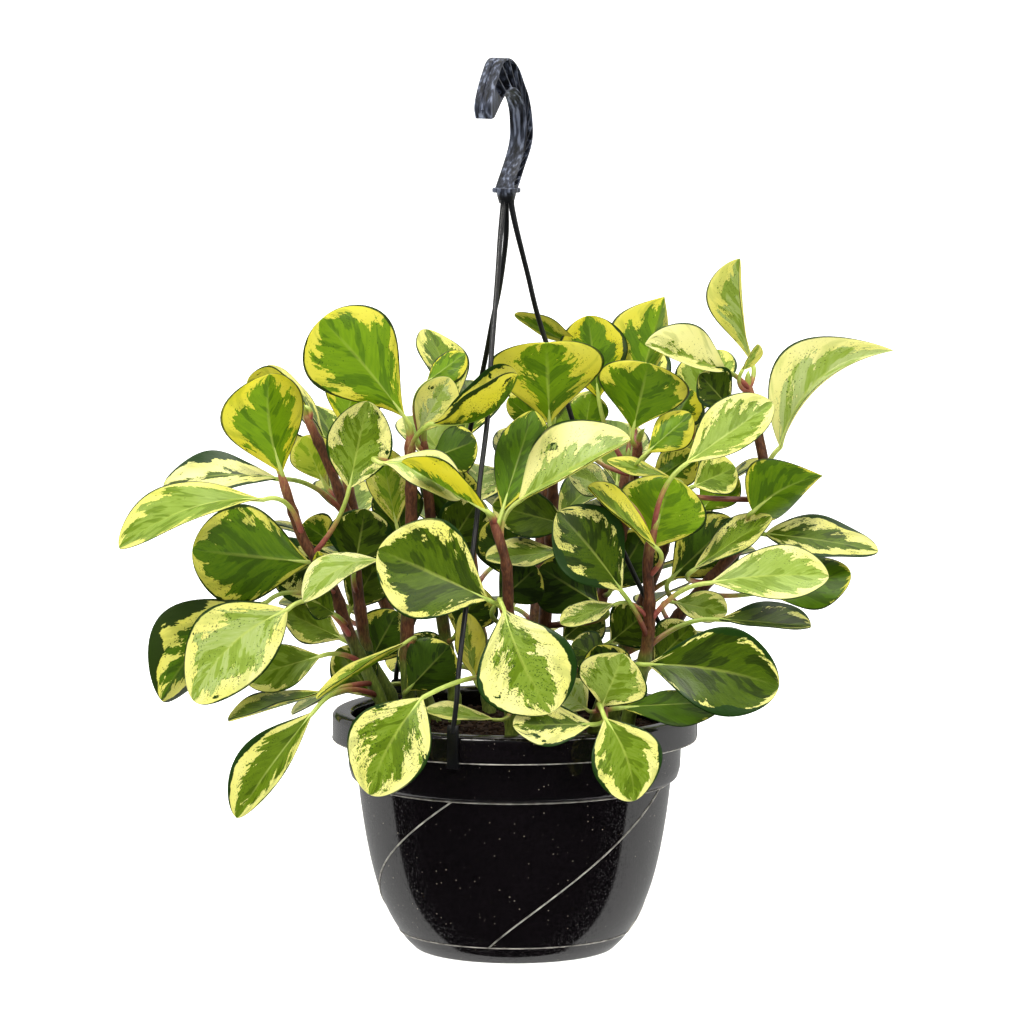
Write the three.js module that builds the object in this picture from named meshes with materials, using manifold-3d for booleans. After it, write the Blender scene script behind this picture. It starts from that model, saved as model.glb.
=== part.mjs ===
// Variegated baby rubber plant in a black hanging pot, with its moulded hook and three strands.
// Millimetres, +Z up. The origin is the middle of the pot's base, which rests on z = 0.
import * as THREE from "three";
import { mergeVertices } from "three/addons/utils/BufferGeometryUtils.js";
import Module from "manifold-3d";

const wasm = await Module();
wasm.setup();

// Driving dimensions of the pot
const WALL = 2;
const POT_COLUMNS_PER_RIDGE = 7;
const RIDGES = 4;
const RIDGE_SWEEP = THREE.MathUtils.degToRad(80);
const RIDGE_START = THREE.MathUtils.degToRad(-113);
const RIDGE_PROUD = 0.8;
const RIDGE_HALF_WIDTH = 0.7;
const RIM_RADIUS = 115;
const SKIRT_BOTTOM = 134;
const RIM_TOP = 151;
const BODY_TOP = 107.5;
const BODY_BOTTOM = 11.5;

// Fits
const GAP = 0.3;
const SOIL_TOP = 140;
const HOLE_DEPTH = 18;
const SOIL_SEGMENTS = 20;

// Driving dimensions of the hanger
const HOOK_WIDTH = 12.4;
const HOOK_WEB = 2.4;
const HOOK_RIB = 1.2;
const HOOK_TURN = THREE.MathUtils.degToRad(33);
const HOOK_X = 2.2;
const HOOK_Y = 14;
const STRAND_RADIUS = 1.6;
const CLIP_WIDTH = 7;
const CLIP_THICKNESS = 2.4;
const CLIP_TOP = 158;
const CLIP_FOOT = 2.7;

// Driving dimensions of the plant
const LEAF_RIB = 0.85;
const LEAF_BLADE = 0.65;
const STALK_RADIUS = 1.6;
const LEAF_MIDDLE = 0.6;
const LARGE_STATIONS = [0.22, 0.5, 0.76, 0.93];
const SMALL_STATIONS = [0.34, 0.68, 0.92];
const COARSE_STATIONS = [0.42, 0.84];
const SLIM_WIDTH = 31;
const SMALL_WIDTH = 37;
const SHORT_STALK = 19;

// The places of stems and leaves are stated as they show from an eye point: x and h are read on the
// upright plane through the pot's axis, and y is the depth, less than 0 on the near side.
const EYE = new THREE.Vector3(-1.6, -4000, 752);

const PLASTIC = { color: 0x0e0c0d, roughness: 0.25, metalness: 0 };
const HOOK_PLASTIC = { color: 0x3c404e, roughness: 0.55, metalness: 0 };
const LEAF = { color: 0x8fae3c, roughness: 0.35, metalness: 0 };
const SOIL = { color: 0x2b2019, roughness: 0.95, metalness: 0 };

const part = new THREE.Group();

function addMesh(name, geometry, finish) {
  const mesh = new THREE.Mesh(geometry, new THREE.MeshStandardMaterial(finish));
  mesh.name = name;
  part.add(mesh);
  return mesh;
}

// A point read at x and h on the upright plane, moved along the line of sight to the depth y
function seen([x, h, y]) {
  const onPlane = new THREE.Vector3(x, 0, h);
  const sight = onPlane.clone().sub(EYE);
  return onPlane.addScaledVector(sight, y / -EYE.y);
}

// Repeatable random numbers from 0 to 1
function makeRandom(seed) {
  let state = seed;
  return function next() {
    state = (state + 0x6d2b79f5) | 0;
    let mixed = Math.imul(state ^ (state >>> 15), 1 | state);
    mixed = (mixed + Math.imul(mixed ^ (mixed >>> 7), 61 | mixed)) ^ mixed;
    return ((mixed ^ (mixed >>> 14)) >>> 0) / 4294967296;
  };
}

// Solids and meshes
function toSolid(geometry) {
  const bare = geometry.clone();
  bare.deleteAttribute("normal");
  bare.deleteAttribute("uv");
  const merged = mergeVertices(bare, 1e-4);
  const mesh = new wasm.Mesh({
    numProp: 3,
    vertProperties: new Float32Array(merged.attributes.position.array),
    triVerts: new Uint32Array(merged.index.array),
  });
  return new wasm.Manifold(mesh);
}

function toGeometry(solid) {
  const mesh = solid.getMesh();
  const geometry = new THREE.BufferGeometry();
  geometry.setAttribute("position", new THREE.BufferAttribute(new Float32Array(mesh.vertProperties), 3));
  geometry.setIndex(new THREE.BufferAttribute(new Uint32Array(mesh.triVerts), 1));
  return geometry;
}

function signedVolume(points, faces) {
  let volume = 0;
  for (const [a, b, c] of faces) {
    volume += points[a].dot(points[b].clone().cross(points[c]));
  }
  return volume / 6;
}

// A closed geometry through rings of points. Each ring has the same count, and the last ring may be a
// single point. crossing(i) says that the quad after point i is split from its first corner.
function loft(rings, crossing = () => true) {
  const points = rings.flat();
  const count = rings[0].length;
  const faces = [];
  for (let i = 2; i < count; i += 1) {
    faces.push([0, i, i - 1]);
  }
  for (let r = 1; r < rings.length; r += 1) {
    const low = (r - 1) * count;
    const high = r * count;
    for (let i = 0; i < count; i += 1) {
      const j = (i + 1) % count;
      if (rings[r].length === 1) {
        faces.push([low + i, low + j, high]);
      } else if (crossing(i)) {
        faces.push([low + i, high + j, high + i], [low + i, low + j, high + j]);
      } else {
        faces.push([low + i, low + j, high + i], [low + j, high + j, high + i]);
      }
    }
  }
  if (rings[rings.length - 1].length > 1) {
    const last = (rings.length - 1) * count;
    for (let i = 2; i < count; i += 1) {
      faces.push([last, last + i - 1, last + i]);
    }
  }
  const outward = signedVolume(points, faces) > 0;
  const geometry = new THREE.BufferGeometry().setFromPoints(points);
  geometry.setIndex(faces.flatMap(([a, b, c]) => (outward ? [a, b, c] : [a, c, b])));
  return geometry;
}

// Rings of a round rod along points, with a radius at each point
function rodRings(points, radii, sides) {
  const rings = [];
  let across = new THREE.Vector3(1, 0, 0);
  points.forEach((point, index) => {
    const before = points[Math.max(index - 1, 0)];
    const after = points[Math.min(index + 1, points.length - 1)];
    const along = after.clone().sub(before).normalize();
    across.addScaledVector(along, -across.dot(along)).normalize();
    const other = along.clone().cross(across);
    const ring = [];
    for (let i = 0; i < sides; i += 1) {
      const angle = (i / sides) * Math.PI * 2;
      const reach = across.clone().multiplyScalar(Math.cos(angle));
      reach.addScaledVector(other, Math.sin(angle));
      ring.push(point.clone().addScaledVector(reach, radii[index]));
    }
    rings.push(ring);
    across = across.clone();
  });
  return rings;
}

// Pot: one shell, closed on the axis. Its columns lean along the swirl ridges from foot to neck.
function potProfile() {
  const outside = [
    [62.5, 0], [69, 6.4], [72.6, BODY_BOTTOM], [79.1, 22], [84.4, 34.5], [88.6, 47], [91.7, 60],
    [94, 72], [95.9, 84], [97.6, 96], [98.8, BODY_TOP], [102.9, 109.5], [104.8, 116],
    [106, RIM_TOP - 3.5], [RIM_RADIUS - WALL, RIM_TOP - 3.5], [RIM_RADIUS - WALL, SKIRT_BOTTOM],
    [RIM_RADIUS, SKIRT_BOTTOM], [RIM_RADIUS, RIM_TOP - 2], [RIM_RADIUS - 2, RIM_TOP],
  ];
  const inside = [
    [104.2, RIM_TOP], [102.3, RIM_TOP - 2], [101.6, 117], [96.6, BODY_TOP], [90.4, 64], [82.1, 34],
    [72.6, 15], [60, WALL + 0.6],
  ];
  return { outside, inside };
}

function ridgeFade(z) {
  return THREE.MathUtils.clamp((z - BODY_BOTTOM) / (BODY_TOP - BODY_BOTTOM), 0, 1);
}

function potColumns(radius, z, isOutside) {
  const columns = [];
  const step = (Math.PI * 2) / RIDGES;
  const sweep = isOutside ? RIDGE_SWEEP * (ridgeFade(z) - 1) : 0;
  const onBody = isOutside && z >= BODY_BOTTOM && z < BODY_TOP;
  for (let ridge = 0; ridge < RIDGES; ridge += 1) {
    const middle = RIDGE_START + ridge * step + sweep;
    const half = RIDGE_HALF_WIDTH / 95;
    const offsets = [-half, 0, half];
    for (let i = 1; i < POT_COLUMNS_PER_RIDGE; i += 1) {
      offsets.push((i / POT_COLUMNS_PER_RIDGE) * step);
    }
    offsets.forEach((offset, index) => {
      const reach = radius + (onBody && index === 1 ? RIDGE_PROUD : 0);
      const angle = middle + offset;
      columns.push(new THREE.Vector3(Math.cos(angle) * reach, Math.sin(angle) * reach, z));
    });
  }
  return columns;
}

function makePot() {
  const { outside, inside } = potProfile();
  const rings = outside.map(([radius, z]) => potColumns(radius, z, true));
  rings.push(...inside.map(([radius, z]) => potColumns(radius, z, false)));
  return loft(rings, () => false);
}

// Soil: fills the pot, with a plain round hole for each stem
function makeSoil(stems) {
  const profile = [
    [0, WALL + 0.6 + GAP], [58.9, WALL + 0.6 + GAP], [71.6, 15.3], [80.9, 34], [89.1, 64],
    [95.2, BODY_TOP], [100.2, 117.4], [100.6, 134], [88, SOIL_TOP], [0, SOIL_TOP],
  ];
  const points = profile.map(([radius, z]) => new THREE.Vector2(radius, z));
  const lathe = new THREE.LatheGeometry(points, SOIL_SEGMENTS);
  lathe.rotateX(Math.PI / 2);
  let soil = toSolid(lathe);
  for (const stem of stems) {
    const foot = stem.points[0];
    const hole = [foot.clone(), new THREE.Vector3(foot.x, foot.y, SOIL_TOP + 5)];
    hole[0].z -= GAP;
    const radius = (stem.radii[0] + GAP) / Math.cos(Math.PI / STEM_SIDES);
    soil = soil.subtract(toSolid(loft(rodRings(hole, [radius, radius], STEM_SIDES))));
  }
  return toGeometry(soil);
}

// Hook: pairs of points on its inner and outer edge, from the collar to the tip, in its own plane
const HOOK_PAIRS = [
  [17.3, 480.8, 9.5, 480.8], [14.5, 485, 6.8, 485], [8.6, 494, 1.6, 494], [5, 500, -2.4, 500],
  [1.7, 506.5, -6.3, 507], [0, 513, -8, 514], [0, 520, -7.6, 521], [0.6, 527, -6.2, 528.5],
  [3, 534, -3, 538], [7, 539.5, 2.6, 547], [11.5, 542.5, 8.5, 556], [16, 543.2, 17, 562],
  [20.5, 541.8, 26, 561.5], [24.5, 538.8, 32.5, 553], [28, 535.5, 37.8, 543], [32, 531, 41, 533],
  [36, 526.5, 39.5, 525.5],
];
const HOOK_EDGE = 1.5;

function extrudeAcross(outline, width) {
  const shape = new THREE.Shape(outline.map(([p, z]) => new THREE.Vector2(p, z)));
  const geometry = new THREE.ExtrudeGeometry(shape, { depth: width, bevelEnabled: false });
  geometry.translate(0, 0, -width / 2);
  return geometry;
}

// A pocket between two pairs, inset from the edges and from the ribs
function pocketOutline(first, second) {
  const corners = [];
  for (const [pair, next] of [[first, second], [second, first]]) {
    const inner = new THREE.Vector2(pair[0], pair[1]);
    const outer = new THREE.Vector2(pair[2], pair[3]);
    const toward = new THREE.Vector2((next[0] + next[2]) / 2, (next[1] + next[3]) / 2);
    toward.sub(inner.clone().add(outer).multiplyScalar(0.5)).normalize();
    const depth = outer.clone().sub(inner);
    const inset = HOOK_EDGE / depth.length();
    const low = inner.clone().addScaledVector(depth, inset).addScaledVector(toward, HOOK_RIB / 2);
    const high = inner.clone().addScaledVector(depth, 1 - inset).addScaledVector(toward, HOOK_RIB / 2);
    corners.push(pair === first ? [low, high] : [high, low]);
  }
  return corners.flat().map((corner) => [corner.x, corner.y]);
}

function placeHook(geometry) {
  geometry.rotateX(Math.PI / 2);
  geometry.rotateZ(-Math.PI / 2 - HOOK_TURN);
  geometry.translate(HOOK_X, HOOK_Y, 0);
  return geometry;
}

function makeHook() {
  const inner = HOOK_PAIRS.map((pair) => [pair[0], pair[1]]);
  const outer = HOOK_PAIRS.map((pair) => [pair[2], pair[3]]).reverse();
  let hook = toSolid(extrudeAcross(inner.concat(outer), HOOK_WIDTH));
  const pocketDepth = (HOOK_WIDTH - HOOK_WEB) / 2;
  const shift = HOOK_WEB / 2 + pocketDepth / 2 + 0.5;
  for (let i = 1; i + 2 < HOOK_PAIRS.length; i += 1) {
    for (const side of [-1, 1]) {
      const pocket = extrudeAcross(pocketOutline(HOOK_PAIRS[i], HOOK_PAIRS[i + 1]), pocketDepth + 1);
      pocket.translate(0, 0, side * shift);
      hook = hook.subtract(toSolid(pocket));
    }
  }
  // The groove down the outer face of the tip arm
  const groove = [];
  for (let i = 11; i <= 15; i += 1) {
    const [p0, z0, p1, z1] = HOOK_PAIRS[i];
    groove.push([new THREE.Vector2(p0, z0), new THREE.Vector2(p1, z1)]);
  }
  const reachOut = groove.map(([low, high]) => high.clone().add(high.clone().sub(low).setLength(2)));
  const reachIn = groove.map(([low, high]) => high.clone().sub(high.clone().sub(low).setLength(1.1)));
  const grooveOutline = reachIn.concat(reachOut.reverse()).map((point) => [point.x, point.y]);
  hook = hook.subtract(toSolid(extrudeAcross(grooveOutline, 2.2)));
  // Collar plate, and the tapered root that the strands leave
  const collar = new THREE.BoxGeometry(11, 3, 15);
  collar.translate(13.4, 479.6, 0);
  hook = hook.add(toSolid(collar));
  const root = new THREE.CylinderGeometry(6.4, 4.6, 7, 8);
  root.translate(13.4, 475, 0);
  hook = hook.add(toSolid(root));
  return placeHook(toGeometry(hook));
}

// Strands: a slim rod from the root to the rim, ending in a clip that grips the skirt from below
function makeStrand(route, azimuth) {
  const angle = THREE.MathUtils.degToRad(azimuth);
  const outward = new THREE.Vector3(Math.cos(angle), Math.sin(angle), 0);
  const face = RIM_RADIUS + GAP;
  const end = outward.clone().multiplyScalar(face + CLIP_THICKNESS / 2 + 0.4).setZ(CLIP_TOP - 5);
  const curve = new THREE.CatmullRomCurve3(route.map(seen).concat([end]), false, "centripetal");
  const points = curve.getSpacedPoints(14);
  const rod = toSolid(loft(rodRings(points, points.map(() => STRAND_RADIUS), 6)));
  const foot = SKIRT_BOTTOM - GAP;
  const grip = RIM_RADIUS - WALL - 1;
  const outline = [
    [face, CLIP_TOP], [face, foot], [grip, foot], [grip, foot + 5], [grip - 2.4, foot + 4],
    [grip - 2.4, foot - CLIP_FOOT],
    [face + CLIP_THICKNESS, foot - CLIP_FOOT], [face + CLIP_THICKNESS, CLIP_TOP - 3],
    [face + CLIP_THICKNESS - 0.8, CLIP_TOP],
  ];
  const clip = extrudeAcross(outline, CLIP_WIDTH);
  clip.rotateX(Math.PI / 2);
  clip.rotateZ(angle);
  return toGeometry(rod.add(toSolid(clip)));
}

const FRONT_STRAND = [
  [-7, 470.6, -0.5], [-9, 450, -8], [-11, 421, -22], [-15, 370, -43], [-17, 336, -53], [-22, 295, -65],
  [-24, 270, -73], [-34, 188, -99], [-36.5, 158, -108],
];
const RIGHT_STRAND = [
  [-2, 470.6, 1], [-0.5, 456, 1.5], [8, 428, 5], [16, 396, 8], [33, 346, 11], [48, 300, 14],
  [75, 238, 17], [101, 188, 20.5], [112, 167, 22],
];
const BACK_STRAND = [
  [-5.4, 470.4, 4.8], [-5.4, 450, 8], [-9, 421, 14], [-14, 397, 20], [-20, 366, 31], [-33, 308, 52],
  [-52, 240, 71], [-69, 194, 84], [-74, 178, 87],
];

// Stems: route of x, h and depth from just above the soil, and radius at foot and top
const STEM_SIDES = 6;
const STEM_ROUTES = {
  left: { route: [[-84, 155, -21], [-97, 184, -22], [-107, 207, -22], [-113, 226, -22], [-126, 248, -20],
    [-135, 264, -20], [-147, 301, -21]], radii: [4.2, 3] },
  left_rear: { route: [[-78, 160, 2], [-92, 185, 4], [-98, 220, 6], [-103, 262, 8], [-114, 300, 11],
    [-131, 338, 15]], radii: [4.1, 3] },
  left_centre: { route: [[-66, 150, -25], [-68, 188, -25], [-66, 240, -22], [-65, 280, -20],
    [-66, 325, -18]], radii: [4.5, 3.4] },
  front: { route: [[-2, 142, -60], [-4, 170, -64], [-4, 219, -74], [-5, 242, -77], [-9, 258, -77],
    [-14, 272, -77]], radii: [4.2, 3] },
  right: { route: [[72, 146, -38], [79, 170, -42], [84, 195, -45], [85, 220, -47], [84, 246, -48],
    [88, 266, -48]], radii: [4.6, 3.1] },
  far_right: { route: [[64, 152, 2], [83, 180, 2], [101, 208, 1], [130, 242, 0], [153, 270, 0],
    [157, 302, 2], [153, 327, 5], [147, 357, 8]], radii: [4.2, 3] },
  low_front: { route: [[50, 140, -74], [53, 149, -82], [56, 156, -90]], radii: [4, 3] },
  upper_centre: { route: [[16, 156, 12], [20, 220, 8], [24, 280, 2], [23, 328, -8]], radii: [4.2, 3.1] },
  upper_right: { route: [[36, 160, 30], [54, 220, 36], [67, 262, 31], [74, 292, 24], [78, 322, 10]],
    radii: [4.2, 3.1] },
  centre_rear: { route: [[-38, 160, 14], [-47, 220, 10], [-54, 285, 4], [-57, 322, 0]], radii: [4.1, 3] },
};

// Leaves: stem, height of the stalk's foot on it, base, tip, width and the pose of the blade.
// roll turns the blade about its length: at 0 its upper face is toward the eye point, at 180 its
// underside. left and right lift the two halves toward the upper face, arch bows the rib and bend
// curves it sideways. taper and blunt are lower where the base and the tip are rounder. An inner leaf
// stands among the stems, behind others, and has a plain section.
const LEAVES = [
  ["left", 298, [-146, 301, -22], [-154, 364, -36], 62,
    { roll: 180, left: 42, right: 12, bend: 0.06, widest: 0.58, blunt: 0.6 }],
  ["left_rear", 334, [-130, 343, 16], [-168, 359, 28], 38,
    { roll: 122, left: 10, right: 10, arch: 0.08 }],
  ["left_centre", 320, [-67, 334, -20], [-121, 399, -34], 64,
    { roll: 182, left: 14, right: 10, bend: -0.02, widest: 0.68, blunt: 0.5 }],
  ["left_rear", 300, [-108, 330, 8], [-96, 368, 14], 40, { roll: 168, left: 14, right: 10 }],
  ["left", 250, [-104, 292, -30], [-92, 347, -29], 46,
    { roll: 4, left: 24, right: 24, arch: -0.08, widest: 0.52 }],
  ["left_centre", 305, [-84, 308, -52], [-34, 285, -66], 42, { roll: -48, left: 6, right: 12, arch: 0.16 }],
  ["left_rear", 285, [-120, 296, 14], [-133, 325, 14], 30, { roll: 165 }],
  ["left_rear", 275, [-148, 298, -4], [-221, 293, -6], 50, { roll: 58, left: 8, right: 8, arch: 0.07 }],
  ["left", 262, [-158, 285, -42], [-249, 254, -62], 50, { roll: 42, left: 30, right: 4, arch: 0.14 }],
  ["left", 225, [-128, 245, -14], [-203, 253, -32], 64, { roll: 178, left: 4, right: 6 }],
  ["left_rear", 232, [-114, 250, 0], [-152, 232, 6], 46, { roll: 14, left: 10, right: 8 }],
  ["left_rear", 225, [-101, 240, -4], [-94, 279, -6], 44, { roll: 8, left: 12, right: 12 }],
  ["left", 226, [-121, 236, -38], [-124, 252, -40], 13, { roll: 0, left: 40, right: 40 }],
  ["left_centre", 235, [-83, 246, -44], [-133, 220, -60], 36,
    { roll: 52, left: 14, right: 10, arch: 0.17 }],
  ["left", 205, [-113, 212, -38], [-132, 224, -48], 24, { roll: 24, left: 16, right: 16 }],
  ["centre_rear", 320, [-56, 358, 8], [-31, 377, 12], 24, { roll: 150, left: 12, right: 12 }],
  ["centre_rear", 315, [-61, 326, -6], [-41, 362, -8], 30, { roll: 12, left: 14, right: 14 }],
  ["left_centre", 298, [-53, 333, -50], [2, 364, -84], 48, { roll: -72, left: 65, right: 62, arch: -0.18 }],
  ["centre_rear", 300, [-54, 310, -14], [-24, 322, -24], 32, { roll: 165, left: 10, right: 10 }],
  ["front", 270, [-16, 277, -86], [-71, 309, -90], 34, { roll: 108, left: 34, right: 26 }],
  ["upper_centre", 326, [22, 331, -14], [20, 384, -40], 74,
    { roll: 180, left: 14, right: 12, arch: 0.04, widest: 0.66, blunt: 0.5 }],
  ["upper_right", 312, [45, 380, 44], [0, 402, 44], 24, { roll: 120, left: 8, right: 8 }],
  ["upper_right", 300, [53, 348, 30], [46, 401, 40], 46, { roll: 178, left: 12, right: 12 }],
  ["upper_right", 318, [76, 348, 36], [94, 413, 50], 56,
    { roll: 180, left: 70, right: 6, widest: 0.6, blunt: 1 }],
  ["upper_right", 318, [74, 327, 0], [84, 371, -14], 60,
    { roll: 180, left: 12, right: 12, widest: 0.66, blunt: 0.55 }],
  ["far_right", 354, [133, 366, 0], [82, 383, -26], 42,
    { roll: 10, left: 68, right: 6, arch: 0.04, widest: 0.55 }],
  ["far_right", 356, [150, 368, 12], [141, 437, 20], 44,
    { roll: -20, left: 8, right: 70, bend: -0.05, widest: 0.7 }],
  ["far_right", 296, [167, 318, 10], [238, 379, 6], 58,
    { roll: -10, left: 10, right: 75, bend: -0.18, widest: 0.42, blunt: 0.8 }],
  ["right", 264, [107, 307, -44], [162, 346, -36], 44, { roll: -26, left: 10, right: 26 }],
  ["upper_right", 295, [83, 314, -6], [111, 339, -4], 28, { roll: 155 }],
  ["far_right", 285, [112, 293, -10], [139, 305, -4], 32, { roll: -20, left: 8, right: 12 }],
  ["far_right", 330, [135, 343, -2], [116, 364, -8], 32, { roll: 24, left: 20, right: 20 }],
  ["upper_right", 310, [96, 327, 14], [112, 354, 22], 30, { roll: 170 }],
  ["far_right", 268, [150, 277, -14], [194, 300, -12], 50,
    { roll: 176, left: 60, right: 8, bend: 0.08, widest: 0.3, blunt: 1 }],
  ["front", 242, [3, 284, -54], [73, 323, -66], 66,
    { roll: -28, left: 0, right: 58, arch: 0.05, widest: 0.47 }],
  ["front", 266, [-8, 276, -56], [12, 341, -34], 37, { roll: 158, left: 10, right: 10 }],
  ["upper_centre", 318, [17, 332, 10], [-4, 349, 12], 20, { roll: 160 }],
  ["upper_right", 300, [44, 326, 30], [48, 352, 34], 26, { roll: 178 }],
  ["right", 255, [64, 289, -40], [34, 302, -42], 26, { roll: 36, left: 10, right: 10 }],
  ["right", 236, [90, 254, -60], [46, 293, -76], 36, { roll: 62, left: 24, right: 16 }],
  ["right", 240, [84, 252, -30], [99, 299, -24], 58, { roll: 178, left: 8, right: 8 }],
  ["right", 196, [68, 226, -62], [27, 277, -76], 52, { roll: 22, left: 10, right: 12, arch: 0.06 }],
  ["upper_centre", 245, [36, 268, -22], [-14, 281, -32], 36, { roll: 28, left: 8, right: 8 }],
  ["upper_centre", 230, [32, 252, -34], [-18, 247, -48], 34, { roll: 58, left: 8, right: 12 }],
  ["upper_centre", 205, [54, 218, -22], [16, 242, -28], 44, { roll: 178 }],
  ["upper_centre", 200, [-10, 220, -24], [14, 242, -28], 34, { roll: 178 }],
  ["front", 208, [-16, 221, -96], [-86, 253, -104], 66, { roll: 10, left: 12, right: 10, arch: 0.04 }],
  ["front", 204, [-7, 216, -104], [23, 149, -124], 64,
    { roll: 2, left: 8, right: 8, arch: 0.07, bend: 0.04 }],
  ["front", 170, [-58, 159, -124], [-92, 97, -134], 53,
    { roll: 6, left: 12, right: 8, arch: 0.06, bend: 0.05, widest: 0.52, via: [-24, 178, -124] }],
  ["low_front", 154, [50, 142, -112], [-1, 141, -126], 34, { roll: 30, left: 10, right: 10 }],
  ["low_front", 152, [46, 151, -86], [29, 167, -88], 26, { roll: 10 }],
  ["low_front", 150, [57, 146, -118], [76, 93, -130], 45,
    { roll: 0, left: 10, right: 10, arch: 0.05, bend: -0.08, widest: 0.54 }],
  ["low_front", 156, [55, 153, -98], [69, 187, -106], 50, { roll: 0, left: 24, right: 24 }],
  ["right", 172, [82, 180, -68], [167, 166, -94], 56,
    { roll: -6, left: 12, right: 6, arch: 0.05, bend: -0.04, widest: 0.62, blunt: 0.5 }],
  ["right", 190, [127, 209, -46], [187, 204, -54], 38, { roll: -52, left: 12, right: 30 }],
  ["far_right", 225, [156, 226, -12], [212, 238, -18], 38, { roll: 150, left: 8, right: 8 }],
  ["right", 206, [122, 232, -56], [198, 236, -64], 44, { roll: -34, left: 10, right: 14, arch: 0.05 }],
  ["far_right", 262, [158, 263, -8], [229, 252, -14], 41,
    { roll: -48, left: 8, right: 12, arch: 0.02, widest: 0.44 }],
  ["far_right", 232, [112, 240, -22], [162, 274, -18], 40, { roll: -58, left: 10, right: 10 }],
  ["far_right", 205, [100, 220, -24], [134, 213, -32], 30, { roll: -44, left: 8, right: 8 }],
  ["low_front", 150, [66, 152, -82], [131, 156, -64], 32, { roll: 136, left: 10, right: 10 }],
  ["left", 214, [-156, 220, -22], [-223, 157, -36], 62,
    { roll: 172, left: 12, right: 52, arch: -0.06, bend: -0.11 }],
  ["left", 196, [-143, 215, -52], [-203, 157, -64], 54,
    { roll: 4, left: 8, right: 10, arch: 0.05, bend: 0.1, widest: 0.5 }],
  ["left", 180, [-121, 186, -36], [-171, 171, -42], 33, { roll: 20, left: 8, right: 8 }],
  ["left", 190, [-108, 196, -2], [-146, 214, -6], 34, { roll: 34, left: 8, right: 8 }],
  ["left", 168, [-120, 163, -48], [-181, 144, -56], 40, { roll: 72, left: 22, right: 16 }],
  ["left", 160, [-126, 151, -62], [-176, 82, -84], 44,
    { roll: 0, left: 64, right: 14, arch: 0.05, bend: 0.02 }],
  ["left_centre", 190, [-68, 195, -52], [-125, 158, -80], 22, { roll: 72, left: 30, right: 24 }],
  ["left_centre", 165, [-68, 163, -36], [-41, 192, -42], 38, { roll: 178 }],
  ["front", 160, [-25, 171, -60], [-33, 213, -68], 24, { roll: 30, left: 16, right: 16 }],
  ["front", 152, [-12, 145, -80], [-57, 150, -88], 26, { roll: 62, left: 14, right: 10 }],
  ["right", 208, [64, 219, -58], [29, 206, -66], 26, { roll: 52, left: 8, right: 8 }],
  ["upper_centre", 180, [60, 180, -20], [36, 193, -26], 30, { roll: 30 }],
  ["right", 168, [88, 181, -30], [112, 205, -32], 34, { roll: 8 }],
  ["upper_right", 270, [117, 277, 12], [138, 303, 14], 28, { roll: 176 }],
  ["upper_right", 285, [100, 298, -4], [58, 309, -8], 22, { roll: 60 }],
  ["far_right", 352, [143, 366, -12], [153, 383, -14], 16, { roll: 60, left: 20, right: 20 }],
  ["left_centre", 262, [-74, 268, -6], [-84, 318, -8], 30, { roll: 165 }],
  ["left_centre", 240, [-70, 258, 4], [-77, 298, 6], 34, { roll: 170, inner: true }],
  ["left_rear", 250, [-112, 256, 12], [-133, 270, 6], 26, { roll: 170, inner: true }],
  ["left_rear", 205, [-104, 214, 20], [-86, 246, 22], 32, { roll: 12, inner: true }],
  ["left_rear", 175, [-92, 180, 20], [-74, 214, 22], 38, { roll: 170, inner: true }],
  ["left_centre", 160, [-88, 158, -6], [-112, 190, -4], 34, { roll: 20, inner: true }],
  ["centre_rear", 262, [-45, 268, 10], [-38, 306, 10], 40, { roll: 172, inner: true }],
  ["centre_rear", 240, [-46, 248, 10], [-22, 286, 6], 36, { roll: 10, inner: true }],
  ["centre_rear", 195, [-37, 199, 6], [-22, 230, 2], 38, { roll: 174, inner: true }],
  ["centre_rear", 175, [-44, 170, 8], [-70, 196, 12], 36, { roll: 20, inner: true }],
  ["upper_centre", 230, [2, 232, -8], [-14, 272, -14], 36, { roll: 170, inner: true }],
  ["upper_centre", 190, [30, 196, 6], [54, 216, 10], 32, { roll: 12, inner: true }],
  ["upper_centre", 165, [28, 170, -10], [2, 200, -14], 34, { roll: 170, inner: true }],
  ["upper_right", 285, [86, 296, 22], [114, 314, 24], 30, { roll: 168, inner: true }],
  ["upper_right", 225, [60, 226, 30], [82, 264, 34], 40, { roll: 174, inner: true }],
  ["upper_right", 200, [60, 194, 4], [84, 214, 4], 36, { roll: 14, inner: true }],
  ["right", 160, [66, 158, -42], [52, 192, -46], 34, { roll: 172, inner: true }],
  ["far_right", 215, [98, 234, 8], [138, 272, 10], 44, { roll: 172, inner: true }],
];

function halfWidth(t, leaf) {
  const skew = Math.log(0.5) / Math.log(leaf.widest);
  return Math.sin(Math.PI * t ** skew) ** THREE.MathUtils.lerp(leaf.taper, leaf.blunt, t) / 2;
}

function bladeFrame(base, tip, toward, roll) {
  const along = tip.clone().sub(base).normalize();
  const facing = toward.clone().addScaledVector(along, -toward.dot(along)).normalize();
  const across = along.clone().cross(facing);
  const angle = THREE.MathUtils.degToRad(roll);
  const up = facing.clone().multiplyScalar(Math.cos(angle)).addScaledVector(across, Math.sin(angle));
  return { along, up, side: along.clone().cross(up), length: tip.distanceTo(base) };
}

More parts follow.
